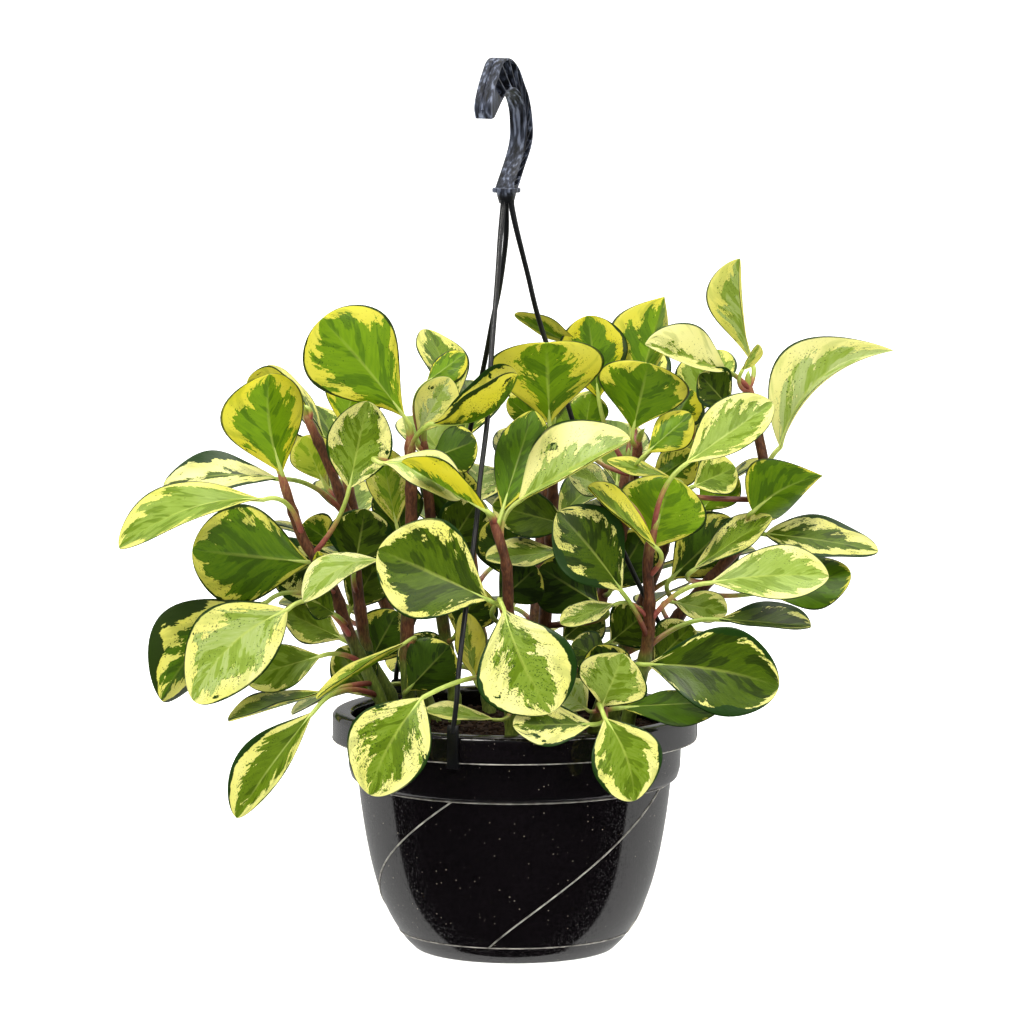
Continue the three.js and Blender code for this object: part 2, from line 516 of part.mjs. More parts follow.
// Points round the blade at t: edge, middle, rib, middle and edge on top, then back underneath.
// A slim leaf has no middle points.
function bladeRing(leaf, frame, t) {
  const bow = 4 * t * (1 - t) * frame.length;
  const { up, side } = frame;
  const rib = leaf.base.clone().addScaledVector(frame.along, t * frame.length);
  rib.addScaledVector(up, leaf.arch * bow).addScaledVector(side, leaf.bend * bow);
  const half = halfWidth(t, leaf) * leaf.width;
  const flank = (sign, lift) => {
    const angle = THREE.MathUtils.degToRad(lift);
    const reach = side.clone().multiplyScalar(sign * Math.cos(angle) * half);
    reach.addScaledVector(up, Math.sin(angle) * half);
    return [rib.clone().addScaledVector(reach, LEAF_MIDDLE), rib.clone().add(reach)];
  };
  const [leftMiddle, leftEdge] = flank(-1, leaf.left);
  const [rightMiddle, rightEdge] = flank(1, leaf.right);
  const lifted = (point, by) => point.clone().addScaledVector(up, by);
  if (leaf.slim) {
    return [leftEdge, lifted(rib, LEAF_RIB), rightEdge, lifted(rib, -LEAF_RIB)];
  }
  return [
    leftEdge, lifted(leftMiddle, LEAF_BLADE), lifted(rib, LEAF_RIB), lifted(rightMiddle, LEAF_BLADE),
    rightEdge, lifted(rightMiddle, -LEAF_BLADE), lifted(rib, -LEAF_RIB), lifted(leftMiddle, -LEAF_BLADE),
  ];
}

function stalkRing(centre, side, up, count) {
  const ring = [];
  for (let i = 0; i < count; i += 1) {
    const angle = Math.PI - (i * Math.PI * 2) / count;
    const reach = side.clone().multiplyScalar(Math.cos(angle)).addScaledVector(up, Math.sin(angle));
    ring.push(centre.clone().addScaledVector(reach, STALK_RADIUS));
  }
  return ring;
}

// The stalk leaves the stem and turns into the blade's own direction at its base
function stalkCentre(leaf, frame, t) {
  const reach = leaf.base.distanceTo(leaf.foot) * 0.45;
  const bendPoint = leaf.via ? seen(leaf.via) : leaf.base.clone().addScaledVector(frame.along, -reach);
  const first = leaf.foot.clone().lerp(bendPoint, t);
  const second = bendPoint.clone().lerp(leaf.base, t);
  return first.lerp(second, t);
}

// Both faces of a blade are split from the edge of one ring to the rib of the next
const LEAF_SPLIT = [true, true, false, false, true, true, false, false];
const SLIM_SPLIT = [true, false, true, false];

function makeLeaf(leaf) {
  const frame = bladeFrame(leaf.base, leaf.tip, leaf.toward, leaf.roll);
  const rings = [];
  const isShort = leaf.isBack || leaf.foot.distanceTo(leaf.base) < SHORT_STALK;
  // The rings of the stalk are turned step by step from the blade back to the stem
  const stalkStations = isShort ? [1, 0] : [1, 0.5, 0];
  let { along, up } = frame;
  for (const t of stalkStations) {
    const before = stalkCentre(leaf, frame, Math.max(t - 0.1, 0));
    const after = stalkCentre(leaf, frame, Math.min(t + 0.1, 1));
    const next = after.sub(before).normalize();
    up = up.clone().applyQuaternion(new THREE.Quaternion().setFromUnitVectors(along, next));
    along = next;
    const centre = stalkCentre(leaf, frame, t);
    rings.unshift(stalkRing(centre, along.clone().cross(up), up, leaf.slim ? 4 : 8));
  }
  for (const t of leaf.stations) {
    rings.push(bladeRing(leaf, frame, t));
  }
  rings.push([leaf.tip.clone()]);
  return loft(rings, (i) => (leaf.slim ? SLIM_SPLIT : LEAF_SPLIT)[i]);
}

// The point on a stem's middle line that shows at the height h
function stemPoint(stem, h) {
  const heights = stem.points.map((point) => {
    const share = (point.y - EYE.y) / -EYE.y;
    return EYE.z + (point.z - EYE.z) / share;
  });
  for (let i = 1; i < heights.length; i += 1) {
    if (h <= heights[i]) {
      const share = THREE.MathUtils.clamp((h - heights[i - 1]) / (heights[i] - heights[i - 1]), 0, 1);
      return stem.points[i - 1].clone().lerp(stem.points[i], share);
    }
  }
  return stem.points[stem.points.length - 1].clone();
}

function makeStem({ route, radii }) {
  const points = route.map(seen);
  const ground = new THREE.Vector3(points[0].x, points[0].y, SOIL_TOP - HOLE_DEPTH);
  const surface = new THREE.Vector3(points[0].x, points[0].y, SOIL_TOP + 1);
  points[0].z = Math.max(points[0].z, SOIL_TOP + 8);
  const all = [ground, surface].concat(points);
  const sizes = all.map((point, index) => {
    const share = Math.max(index - 1, 0) / (all.length - 2);
    return THREE.MathUtils.lerp(radii[0], radii[1], share);
  });
  return { points: all, radii: sizes };
}

const POSE = {
  roll: 0, left: 8, right: 8, arch: 0, bend: 0, widest: 0.6, taper: 0.85, blunt: 0.55, via: null,
  inner: false,
};
const stems = Object.fromEntries(
  Object.entries(STEM_ROUTES).map(([name, entry]) => [name, makeStem(entry)]),
);

const leaves = LEAVES.map(([stem, footHeight, base, tip, width, pose]) => {
  const leaf = { ...POSE, ...pose, stem, width, base: seen(base), tip: seen(tip) };
  leaf.foot = stemPoint(stems[stem], footHeight);
  leaf.toward = EYE.clone().sub(leaf.base).normalize();
  leaf.slim = width < SLIM_WIDTH || leaf.inner;
  leaf.stations = width < SMALL_WIDTH ? SMALL_STATIONS : LARGE_STATIONS;
  if (leaf.inner) {
    leaf.stations = COARSE_STATIONS;
  }
  return leaf;
});

// Back stems, which the leaves in front hide: placed round the far side by rule
const BACK_AZIMUTHS = [27, 54, 81, 106, 152];
const BACK_LEAVES = 9;
const random = makeRandom(73);
for (const [i, degrees] of BACK_AZIMUTHS.entries()) {
  const azimuth = THREE.MathUtils.degToRad(degrees);
  const outward = new THREE.Vector3(Math.cos(azimuth), Math.sin(azimuth), 0);
  const height = 288 + 26 * random();
  const name = `back_${i + 1}`;
  const reach = [58, 62, 84, 108, 124];
  const points = reach.map((radius, index) => {
    const share = (index - 1) / 3;
    const z = index === 0 ? SOIL_TOP - HOLE_DEPTH : SOIL_TOP + 1 + share * (height - SOIL_TOP);
    return outward.clone().multiplyScalar(index === 1 ? reach[0] : radius).setZ(z);
  });
  stems[name] = { points, radii: [4.4, 4.4, 4, 3.6, 3] };
  for (let k = 0; k < BACK_LEAVES; k += 1) {
    const share = 0.12 + (0.88 * k) / (BACK_LEAVES - 1);
    const along = Math.min(share * 3, 2.999);
    const index = 1 + Math.floor(along);
    const foot = points[index].clone().lerp(points[index + 1], along - Math.floor(along));
    const swing = (k % 2 === 0 ? 1 : -1) * (28 + 34 * random()) * (1 - share * 0.4);
    const heading = azimuth + THREE.MathUtils.degToRad(swing);
    const rise = THREE.MathUtils.degToRad(-24 + 74 * share + 10 * random());
    const direction = new THREE.Vector3(Math.cos(heading), Math.sin(heading), 0);
    const stalk = 16 + 10 * random();
    const length = 50 + 16 * random();
    const base = foot.clone().addScaledVector(direction, stalk * Math.cos(rise));
    base.z += stalk * Math.sin(rise + 0.4);
    const tip = base.clone().addScaledVector(direction, length * Math.cos(rise));
    tip.z += length * Math.sin(rise);
    const leaf = { ...POSE, stem: name, base, tip, foot, width: 40 + 10 * random() };
    leaf.toward = new THREE.Vector3(0, 0, 1).addScaledVector(direction, -0.2);
    leaf.roll = -20 + 40 * random();
    leaf.arch = 0.06;
    leaf.slim = true;
    leaf.isBack = true;
    leaf.stations = COARSE_STATIONS;
    leaves.push(leaf);
  }
}

addMesh("pot", makePot(), PLASTIC);
addMesh("soil", makeSoil(Object.values(stems)), SOIL);
addMesh("hanger_hook", makeHook(), HOOK_PLASTIC);
addMesh("strand_front", makeStrand(FRONT_STRAND, -109), HOOK_PLASTIC);
addMesh("strand_right", makeStrand(RIGHT_STRAND, 11), HOOK_PLASTIC);
addMesh("strand_back_left", makeStrand(BACK_STRAND, 131), HOOK_PLASTIC);

for (const [name, stem] of Object.entries(stems)) {
  let body = toSolid(loft(rodRings(stem.points, stem.radii, STEM_SIDES)));
  for (const leaf of leaves.filter((item) => item.stem === name)) {
    body = body.add(toSolid(makeLeaf(leaf)));
  }
  addMesh(`stem_${name}`, toGeometry(body), LEAF);
}

export default part;
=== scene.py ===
# Looks of a variegated baby rubber plant in a black hanging pot, with its moulded hook and strands.
# Tables and sizes are in millimetres and repeat the places that the CAD part uses. The scene is in metres.
import math
import random
from dataclasses import dataclass

import bmesh
import bpy
import numpy as np
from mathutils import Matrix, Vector


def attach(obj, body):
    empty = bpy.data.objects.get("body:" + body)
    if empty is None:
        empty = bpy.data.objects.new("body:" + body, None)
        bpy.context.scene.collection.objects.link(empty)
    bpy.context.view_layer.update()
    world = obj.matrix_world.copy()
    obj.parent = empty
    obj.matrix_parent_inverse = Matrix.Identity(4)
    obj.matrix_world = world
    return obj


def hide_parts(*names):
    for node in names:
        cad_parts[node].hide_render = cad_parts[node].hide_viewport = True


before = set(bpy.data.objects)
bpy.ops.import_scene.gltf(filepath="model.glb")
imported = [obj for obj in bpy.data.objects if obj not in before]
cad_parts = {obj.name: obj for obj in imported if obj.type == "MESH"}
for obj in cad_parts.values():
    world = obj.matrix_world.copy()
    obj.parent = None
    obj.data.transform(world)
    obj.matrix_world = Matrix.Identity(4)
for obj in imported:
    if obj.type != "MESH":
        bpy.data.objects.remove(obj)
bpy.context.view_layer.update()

MM = 0.001
EYE = np.array([-1.6, -4000.0, 752.0])
SOIL_TOP, HOLE_DEPTH = 140.0, 18.0

# Stems: route of x, height and depth as they show from the eye point, and radius at foot and top
STEMS = {
    "left": ([(-84, 155, -21), (-97, 184, -22), (-107, 207, -22), (-113, 226, -22), (-126, 248, -20),
              (-135, 264, -20), (-147, 301, -21)], (4.2, 3)),
    "left_rear": ([(-78, 160, 2), (-92, 185, 4), (-98, 220, 6), (-103, 262, 8), (-114, 300, 11),
                   (-131, 338, 15)], (4.1, 3)),
    "left_centre": ([(-66, 150, -25), (-68, 188, -25), (-66, 240, -22), (-65, 280, -20),
                     (-66, 325, -18)], (4.5, 3.4)),
    "front": ([(-2, 142, -60), (-4, 170, -64), (-4, 219, -74), (-5, 242, -77), (-9, 258, -77),
               (-14, 272, -77)], (4.2, 3)),
    "right": ([(72, 146, -38), (79, 170, -42), (84, 195, -45), (85, 220, -47), (84, 246, -48),
               (88, 266, -48)], (4.6, 3.1)),
    "far_right": ([(64, 152, 2), (83, 180, 2), (101, 208, 1), (130, 242, 0), (153, 270, 0),
                   (157, 302, 2), (153, 327, 5), (147, 357, 8)], (4.2, 3)),
    "low_front": ([(50, 140, -74), (53, 149, -82), (56, 156, -90)], (4, 3)),
    "upper_centre": ([(16, 156, 12), (20, 220, 8), (24, 280, 2), (23, 328, -8)], (4.2, 3.1)),
    "upper_right": ([(36, 160, 30), (54, 220, 36), (67, 262, 31), (74, 292, 24), (78, 322, 10)],
                    (4.2, 3.1)),
    "centre_rear": ([(-38, 160, 14), (-47, 220, 10), (-54, 285, 4), (-57, 322, 0)], (4.1, 3)),
}


@dataclass
class Leaf:
    """A leaf and its stalk. Its places in the table are x, height and depth, as for the stems."""

    stem: str
    # Where the stalk leaves the stem: a height in the table, and later the point itself
    foot: float
    base: tuple
    tip: tuple
    width: float
    # How far the green flame reaches, the dark margin, the speckle, the yellow in the pale parts and how
    # dark the green is. That darkness is partly the leaf's own tone and partly painted shade, highest on
    # leaves deep inside the plant and in shadow
    look: tuple
    # Turn of the blade about its length, from facing the eye point, and lift of its two flanks, in degrees
    roll: float
    left: float = 8
    right: float = 8
    # Bow of the rib upwards and sideways, as a share of its length
    arch: float = 0
    bend: float = 0
    # Where along the blade it is widest, and the power of its outline at the tip, which is blunt if low
    widest: float = 0.6
    blunt: float = 0.55
    # A point that the stalk bends round, where it doesn't run straight on into the rib
    via: tuple = None
    # Half the thickness of the blade, and the stalk's radius, on a narrow leaf
    thick: float = 0.5
    stalk: float = 1.2
    # Set by gather: where the upper face looks, the seed of its pattern and the start of its waves
    toward: tuple = None
    seed: float = 0
    phase: float = 0


LEAVES = [
    Leaf("left", 298, (-146, 301, -22), (-154, 364, -36), 62, (.55, .06, .15, .85, .35), 180, 42, 12,
         bend=.06, widest=.58, blunt=.6),
    Leaf("left_rear", 334, (-130, 343, 16), (-168, 359, 28), 38, (.1, .05, .05, .8, .3), 122, 10, 10,
         arch=.08),
    Leaf("left_centre", 320, (-67, 334, -20), (-121, 399, -34), 64, (.65, .08, .15, .7, .35), 182, 14, 10,
         bend=-.02, widest=.68, blunt=.5),
    Leaf("left_rear", 300, (-108, 330, 8), (-96, 368, 14), 40, (.6, .05, .1, .8, .3), 168, 14, 10),
    Leaf("left", 250, (-104, 292, -30), (-92, 347, -29), 46, (.6, .12, .5, .25, .45), 4, 24, 24,
         arch=-.08, widest=.52),
    Leaf("left_centre", 305, (-84, 308, -52), (-34, 285, -66), 42, (.5, .05, .2, .2, .15), -48, 6, 12,
         arch=.16),
    Leaf("left_rear", 285, (-120, 296, 14), (-133, 325, 14), 30, (.75, .02, .1, .35, .05), 165),
    Leaf("left_rear", 275, (-148, 298, -4), (-221, 293, -6), 50, (.1, .6, .2, .2, .8), 58, 8, 8, arch=.07),
    Leaf("left", 262, (-158, 285, -42), (-249, 254, -62), 50, (.7, .04, .1, .55, .4), 42, 30, 4, arch=.14),
    Leaf("left", 225, (-128, 245, -14), (-203, 253, -32), 64, (.75, .15, .2, .4, .5), 178, 4, 6),
    Leaf("left_rear", 232, (-114, 250, 0), (-152, 232, 6), 46, (.3, .7, .5, .3, .9), 14, 10, 8),
    Leaf("left_rear", 225, (-101, 240, -4), (-94, 279, -6), 44, (.9, .5, .5, .4, .8), 8, 12, 12),
    Leaf("left", 226, (-121, 236, -38), (-124, 252, -40), 13, (.2, .3, .4, 1, .5), 0, 40, 40),
    Leaf("left_centre", 235, (-83, 246, -44), (-133, 220, -60), 36, (.6, .05, .3, .1, .2), 52, 14, 10,
         arch=.17),
    Leaf("left", 205, (-113, 212, -38), (-132, 224, -48), 24, (.9, .2, .3, .4, .6), 24, 16, 16),
    Leaf("centre_rear", 320, (-56, 358, 8), (-31, 377, 12), 24, (.7, .2, .3, .8, .4), 150, 12, 12),
    Leaf("centre_rear", 315, (-61, 326, -6), (-41, 362, -8), 30, (.3, .05, .3, .4, .1), 12, 14, 14),
    Leaf("left_centre", 298, (-53, 333, -50), (2, 364, -84), 48, (.25, .25, .6, .8, .6), -72, 65, 62,
         arch=-.18),
    Leaf("centre_rear", 300, (-54, 310, -14), (-24, 322, -24), 32, (1, .1, .1, .4, .75), 165, 10, 10),
    Leaf("front", 270, (-16, 277, -86), (-71, 309, -90), 34, (.15, .05, .2, 1, .4), 108, 34, 26),
    Leaf("upper_centre", 326, (22, 331, -14), (20, 384, -40), 74, (.5, .05, .15, .75, .35), 180, 14, 12,
         arch=.04, widest=.66, blunt=.5),
    Leaf("upper_right", 312, (45, 380, 44), (0, 402, 44), 24, (.4, .05, .1, .5, .3), 120, 8, 8),
    Leaf("upper_right", 300, (53, 348, 30), (46, 401, 40), 46, (.45, .25, .3, .95, .45), 178, 12, 12),
    Leaf("upper_right", 318, (76, 348, 36), (94, 413, 50), 56, (.5, .05, .1, .7, .35), 180, 70, 6,
         widest=.6, blunt=1),
    Leaf("upper_right", 318, (74, 327, 0), (84, 371, -14), 60, (.75, .04, .1, .65, .45), 180, 12, 12,
         widest=.66, blunt=.55),
    Leaf("far_right", 354, (133, 366, 0), (82, 383, -26), 42, (.08, .05, .25, .15, .4), 10, 68, 6,
         arch=.04, widest=.55),
    Leaf("far_right", 356, (150, 368, 12), (141, 437, 20), 44, (.5, .06, .2, .6, .2), -20, 8, 70,
         bend=-.05, widest=.7),
    Leaf("far_right", 296, (167, 318, 10), (238, 379, 6), 58, (.45, .06, .2, .15, .1), -10, 10, 75,
         bend=-.18, widest=.42, blunt=.8),
    Leaf("right", 264, (107, 307, -44), (162, 346, -36), 44, (.55, .05, .3, .3, .35), -26, 10, 26),
    Leaf("upper_right", 295, (83, 314, -6), (111, 339, -4), 28, (.6, .05, .1, .7, .4), 155),
    Leaf("far_right", 285, (112, 293, -10), (139, 305, -4), 32, (.6, .1, .3, .4, .5), -20, 8, 12),
    Leaf("far_right", 330, (135, 343, -2), (116, 364, -8), 32, (.8, .4, .5, .4, .8), 24, 20, 20),
    Leaf("upper_right", 310, (96, 327, 14), (112, 354, 22), 30, (.4, .3, .2, .8, .6), 170),
    Leaf("far_right", 268, (150, 277, -14), (194, 300, -12), 50, (.9, .05, .1, .7, .45), 176, 60, 8,
         bend=.08, widest=.3, blunt=1),
    Leaf("front", 242, (3, 284, -54), (73, 323, -66), 66, (.35, .05, .3, .25, .25), -28, 0, 58,
         arch=.05, widest=.47),
    Leaf("front", 266, (-8, 276, -56), (12, 341, -34), 37, (.95, .05, .1, .5, .55), 158, 10, 10),
    Leaf("upper_centre", 318, (17, 332, 10), (-4, 349, 12), 20, (.7, .1, .1, .5, .5), 160),
    Leaf("upper_right", 300, (44, 326, 30), (48, 352, 34), 26, (1, .05, .1, .3, .35), 178),
    Leaf("right", 255, (64, 289, -40), (34, 302, -42), 26, (.5, .1, .7, .2, .2), 36, 10, 10),
    Leaf("right", 236, (90, 254, -60), (46, 293, -76), 36, (.35, .1, .4, .9, .5), 62, 24, 16),
    Leaf("right", 240, (84, 252, -30), (99, 299, -24), 58, (.8, .06, .2, .5, .3), 178, 8, 8),
    Leaf("right", 196, (68, 226, -62), (27, 277, -76), 52, (.6, .5, .6, .4, .8), 22, 10, 12, arch=.06),
    Leaf("upper_centre", 245, (36, 268, -22), (-14, 281, -32), 36, (.95, .2, .3, .3, .7), 28, 8, 8),
    Leaf("upper_centre", 230, (32, 252, -34), (-18, 247, -48), 34, (.5, .1, .3, .4, .5), 58, 8, 12),
    Leaf("upper_centre", 205, (54, 218, -22), (16, 242, -28), 44, (1, .05, .1, .4, .85), 178),
    Leaf("upper_centre", 200, (-10, 220, -24), (14, 242, -28), 34, (1, .05, .1, .4, .85), 178),
    Leaf("front", 208, (-16, 221, -96), (-86, 253, -104), 66, (.68, .1, .45, .45, .75), 10, 12, 10,
         arch=.04),
    Leaf("front", 204, (-7, 216, -104), (23, 149, -124), 64, (.35, .25, .5, .25, .45), 2, 8, 8,
         arch=.07, bend=.04),
    Leaf("front", 170, (-58, 159, -124), (-92, 97, -134), 53, (.5, .1, .5, .3, .5), 6, 12, 8,
         arch=.06, bend=.05, widest=.52, via=(-24, 178, -124)),
    Leaf("low_front", 154, (50, 142, -112), (-1, 141, -126), 34, (.3, .3, .5, .3, .7), 30, 10, 10),
    Leaf("low_front", 152, (46, 151, -86), (29, 167, -88), 26, (.6, .1, .3, .2, .2), 10),
    Leaf("low_front", 150, (57, 146, -118), (76, 93, -130), 45, (.6, .25, .3, .35, .5), 0, 10, 10,
         arch=.05, bend=-.08, widest=.54),
    Leaf("low_front", 156, (55, 153, -98), (69, 187, -106), 50, (.65, .1, .4, .3, .35), 0, 24, 24),
    Leaf("right", 172, (82, 180, -68), (167, 166, -94), 56, (.85, .35, .3, .35, .8), -6, 12, 6,
         arch=.05, bend=-.04, widest=.62, blunt=.5),
    Leaf("right", 190, (127, 209, -46), (187, 204, -54), 38, (.7, .6, .2, .4, .8), -52, 12, 30),
    Leaf("far_right", 225, (156, 226, -12), (212, 238, -18), 38, (1, .05, .1, .4, .6), 150, 8, 8),
    Leaf("right", 206, (122, 232, -56), (198, 236, -64), 44, (.7, .06, .3, .25, .3), -34, 10, 14, arch=.05),
    Leaf("far_right", 262, (158, 263, -8), (229, 252, -14), 41, (.4, .4, .4, .3, .7), -48, 8, 12,
         arch=.02, widest=.44),
    Leaf("far_right", 232, (112, 240, -22), (162, 274, -18), 40, (.5, .2, .6, .35, .5), -58, 10, 10),
    Leaf("far_right", 205, (100, 220, -24), (134, 213, -32), 30, (.6, .1, .3, .3, .4), -44, 8, 8),
    Leaf("low_front", 150, (66, 152, -82), (131, 156, -64), 32, (1, .05, .1, .45, .7), 136, 10, 10),
    Leaf("left", 214, (-156, 220, -22), (-223, 157, -36), 62, (.35, 1, .3, .3, .6), 172, 12, 52,
         arch=-.06, bend=-.11),
    Leaf("left", 196, (-143, 215, -52), (-203, 157, -64), 54, (.5, .08, .3, .3, .2), 4, 8, 10,
         arch=.05, bend=.1, widest=.5),
    Leaf("left", 180, (-121, 186, -36), (-171, 171, -42), 33, (.8, .05, .2, .4, .45), 20, 8, 8),
    Leaf("left", 190, (-108, 196, -2), (-146, 214, -6), 34, (.7, .1, .3, .4, .5), 34, 8, 8),
    Leaf("left", 168, (-120, 163, -48), (-181, 144, -56), 40, (.6, .15, .3, .5, .5), 72, 22, 16),
    Leaf("left", 160, (-126, 151, -62), (-176, 82, -84), 44, (.5, .35, .3, .35, .6), 0, 64, 14,
         arch=.05, bend=.02),
    Leaf("left_centre", 190, (-68, 195, -52), (-125, 158, -80), 22, (.5, .1, .2, .6, .4), 72, 30, 24),
    Leaf("left_centre", 165, (-68, 163, -36), (-41, 192, -42), 38, (1, .05, .2, .4, .8), 178),
    Leaf("front", 160, (-25, 171, -60), (-33, 213, -68), 24, (.2, .1, .2, .8, .4), 30, 16, 16),
    Leaf("front", 152, (-12, 145, -80), (-57, 150, -88), 26, (.5, .05, .2, .3, .3), 62, 14, 10),
    Leaf("right", 208, (64, 219, -58), (29, 206, -66), 26, (.5, .1, .7, .3, .4), 52, 8, 8),
    Leaf("upper_centre", 180, (60, 180, -20), (36, 193, -26), 30, (.9, .2, .3, .4, .8), 30),
    Leaf("right", 168, (88, 181, -30), (112, 205, -32), 34, (.7, .2, .7, .35, .7), 8),
    Leaf("upper_right", 270, (117, 277, 12), (138, 303, 14), 28, (.9, .05, .3, .3, .3), 176),
    Leaf("upper_right", 285, (100, 298, -4), (58, 309, -8), 22, (.4, .1, .2, .7, .4), 60),
    Leaf("far_right", 352, (143, 366, -12), (153, 383, -14), 16, (.3, .1, .1, .6, .3), 60, 20, 20),
    Leaf("left_centre", 262, (-74, 268, -6), (-84, 318, -8), 30, (.5, .05, .3, .3, .15), 165),
    Leaf("left_centre", 240, (-70, 258, 4), (-77, 298, 6), 34, (.8, .3, .4, .4, .75), 170),
    Leaf("left_rear", 250, (-112, 256, 12), (-133, 270, 6), 26, (.5, .2, .3, .4, .5), 170),
    Leaf("left_rear", 205, (-104, 214, 20), (-86, 246, 22), 32, (.8, .2, .4, .4, .7), 12),
    Leaf("left_rear", 175, (-92, 180, 20), (-74, 214, 22), 38, (.7, .2, .4, .4, .75), 170),
    Leaf("left_centre", 160, (-88, 158, -6), (-112, 190, -4), 34, (.8, .2, .4, .4, .7), 20),
    Leaf("centre_rear", 262, (-45, 268, 10), (-38, 306, 10), 40, (.7, .3, .5, .5, .75), 172),
    Leaf("centre_rear", 240, (-46, 248, 10), (-22, 286, 6), 36, (.8, .4, .4, .4, .8), 10),
    Leaf("centre_rear", 195, (-37, 199, 6), (-22, 230, 2), 38, (.7, .2, .5, .4, .8), 174),
    Leaf("centre_rear", 175, (-44, 170, 8), (-70, 196, 12), 36, (.9, .3, .3, .4, .8), 20),
    Leaf("upper_centre", 230, (2, 232, -8), (-14, 272, -14), 36, (.8, .3, .4, .5, .75), 170),
    Leaf("upper_centre", 190, (30, 196, 6), (54, 216, 10), 32, (.7, .3, .4, .4, .75), 12),
    Leaf("upper_centre", 165, (28, 170, -10), (2, 200, -14), 34, (.8, .3, .4, .4, .85), 170),
    Leaf("upper_right", 285, (86, 296, 22), (114, 314, 24), 30, (.5, .2, .3, .5, .5), 168),
    Leaf("upper_right", 225, (60, 226, 30), (82, 264, 34), 40, (.8, .3, .4, .4, .8), 174),
    Leaf("upper_right", 200, (60, 194, 4), (84, 214, 4), 36, (.8, .3, .4, .4, .75), 14),
    Leaf("right", 160, (66, 158, -42), (52, 192, -46), 34, (.8, .3, .4, .4, .85), 172),
    Leaf("far_right", 215, (98, 234, 8), (138, 272, 10), 44, (.6, .4, .4, .4, .7), 172),
]

# Blades: power of the outline at the base, rows along, places across one flank, and steps of its curve
BASE_POWER, BLADE_ROWS = 0.85, 34
FLANK = [0.0, 0.045, 0.1, 0.2, 0.34, 0.5, 0.66, 0.8, 0.9, 0.96, 1.0]
FLANK_STEPS = 6
# A leaf wider than this has a thicker blade and stalk
WIDE_LEAF, WIDE_THICK, WIDE_STALK = 30, 0.62, 1.45
STALK_STATIONS, STALK_SIDES = 15, 10
STEM_SIDES, STEM_STEP, NODE_SPACING = 14, 2.5, 34
LEAF_SLOT, STALK_SLOT, STEM_SLOT = 0, 1, 2


def unit(v):
    return v / np.linalg.norm(v)


def seen(place):
    """The point at a depth that shows at x and height from the eye point."""
    x, height, depth = place
    on_plane = np.array([x, 0.0, height])
    return on_plane + (on_plane - EYE) * (depth / -EYE[1])


def shown_height(point):
    share = (point[1] - EYE[1]) / -EYE[1]
    return EYE[2] + (point[2] - EYE[2]) / share


def smooth_route(points, count):
    """Catmull-Rom points through the given ones, spaced evenly by length."""
    pts = [np.asarray(p, float) for p in points]
    pts = [2 * pts[0] - pts[1]] + pts + [2 * pts[-1] - pts[-2]]
    steps = 12
    fine = []
    for i in range(1, len(pts) - 2):
        p0, p1, p2, p3 = pts[i - 1:i + 3]
        for k in range(steps):
            t = k / steps
            fine.append(0.5 * (2 * p1 + (p2 - p0) * t + (2 * p0 - 5 * p1 + 4 * p2 - p3) * t * t
                               + (3 * p1 - p0 - 3 * p2 + p3) * t ** 3))
    fine = np.array(fine + [pts[-2]])
    run = np.concatenate([[0], np.cumsum(np.linalg.norm(np.diff(fine, axis=0), axis=1))])
    wanted = np.linspace(0, run[-1], count)
    return np.stack([np.interp(wanted, run, fine[:, k]) for k in range(3)], axis=1)


# Meshes
def ring_faces(rings, sides, first=0):
    """Faces between closed rings of vertices that follow each other."""
    faces = []
    for ring in range(rings - 1):
        for k in range(sides):
            a = first + ring * sides + k
            b = first + ring * sides + (k + 1) % sides
            faces.append((a, b, b + sides, a + sides))
    return faces


def closed_faces(rings, sides, first=0):
    """The same with a flat face over each end."""
    foot, top = range(first, first + sides), range(first + (rings - 1) * sides, first + rings * sides)
    return ring_faces(rings, sides, first) + [tuple(reversed(foot)), tuple(top)]


def tube(points, radii, sides, start=(1.0, 0.0, 0.0)):
    """Vertices and faces of a round tube along points, with its two ends closed."""
    across = np.array(start, float)
    verts, count = [], len(points)
    for i, point in enumerate(points):
        along = unit(points[min(i + 1, count - 1)] - points[max(i - 1, 0)])
        across = unit(across - along * np.dot(across, along))
        other = np.cross(along, across)
        for k in range(sides):
            angle = 2 * math.pi * k / sides
            verts.append(point + (across * math.cos(angle) + other * math.sin(angle)) * radii[i])
    faces = ring_faces(count, sides)
    foot, last = len(verts), (count - 1) * sides
    for k in range(sides):
        n = (k + 1) % sides
        faces += [(foot, n, k), (foot + 1, last + k, last + n)]
    return verts + [points[0], points[-1]], faces


def join(verts, faces, shape):
    """Add the vertices and faces of another shape."""
    first = len(verts)
    verts += [tuple(p) for p in shape[0]]
    faces += [tuple(first + i for i in face) for face in shape[1]]


def add_piece(name, verts, faces, *materials):
    """A smooth mesh object from places in millimetres."""
    mesh = bpy.data.meshes.new(name)
    mesh.from_pydata([(x * MM, y * MM, z * MM) for x, y, z in verts], [], faces)
    mesh.polygons.foreach_set("use_smooth", [True] * len(faces))
    for material in materials:
        mesh.materials.append(material)
    mesh.update()
    piece = bpy.data.objects.new(name, mesh)
    bpy.context.scene.collection.objects.link(piece)
    return piece


def face_outwards(piece, sharp=None):
    """Turn every face outwards and, if an angle in degrees is given, mark the edges that are sharper."""
    mesh = bmesh.new()
    mesh.from_mesh(piece.data)
    bmesh.ops.recalc_face_normals(mesh, faces=mesh.faces)
    mesh.to_mesh(piece.data)
    mesh.free()
    if sharp:
        piece.data.set_sharp_from_angle(angle=math.radians(sharp))


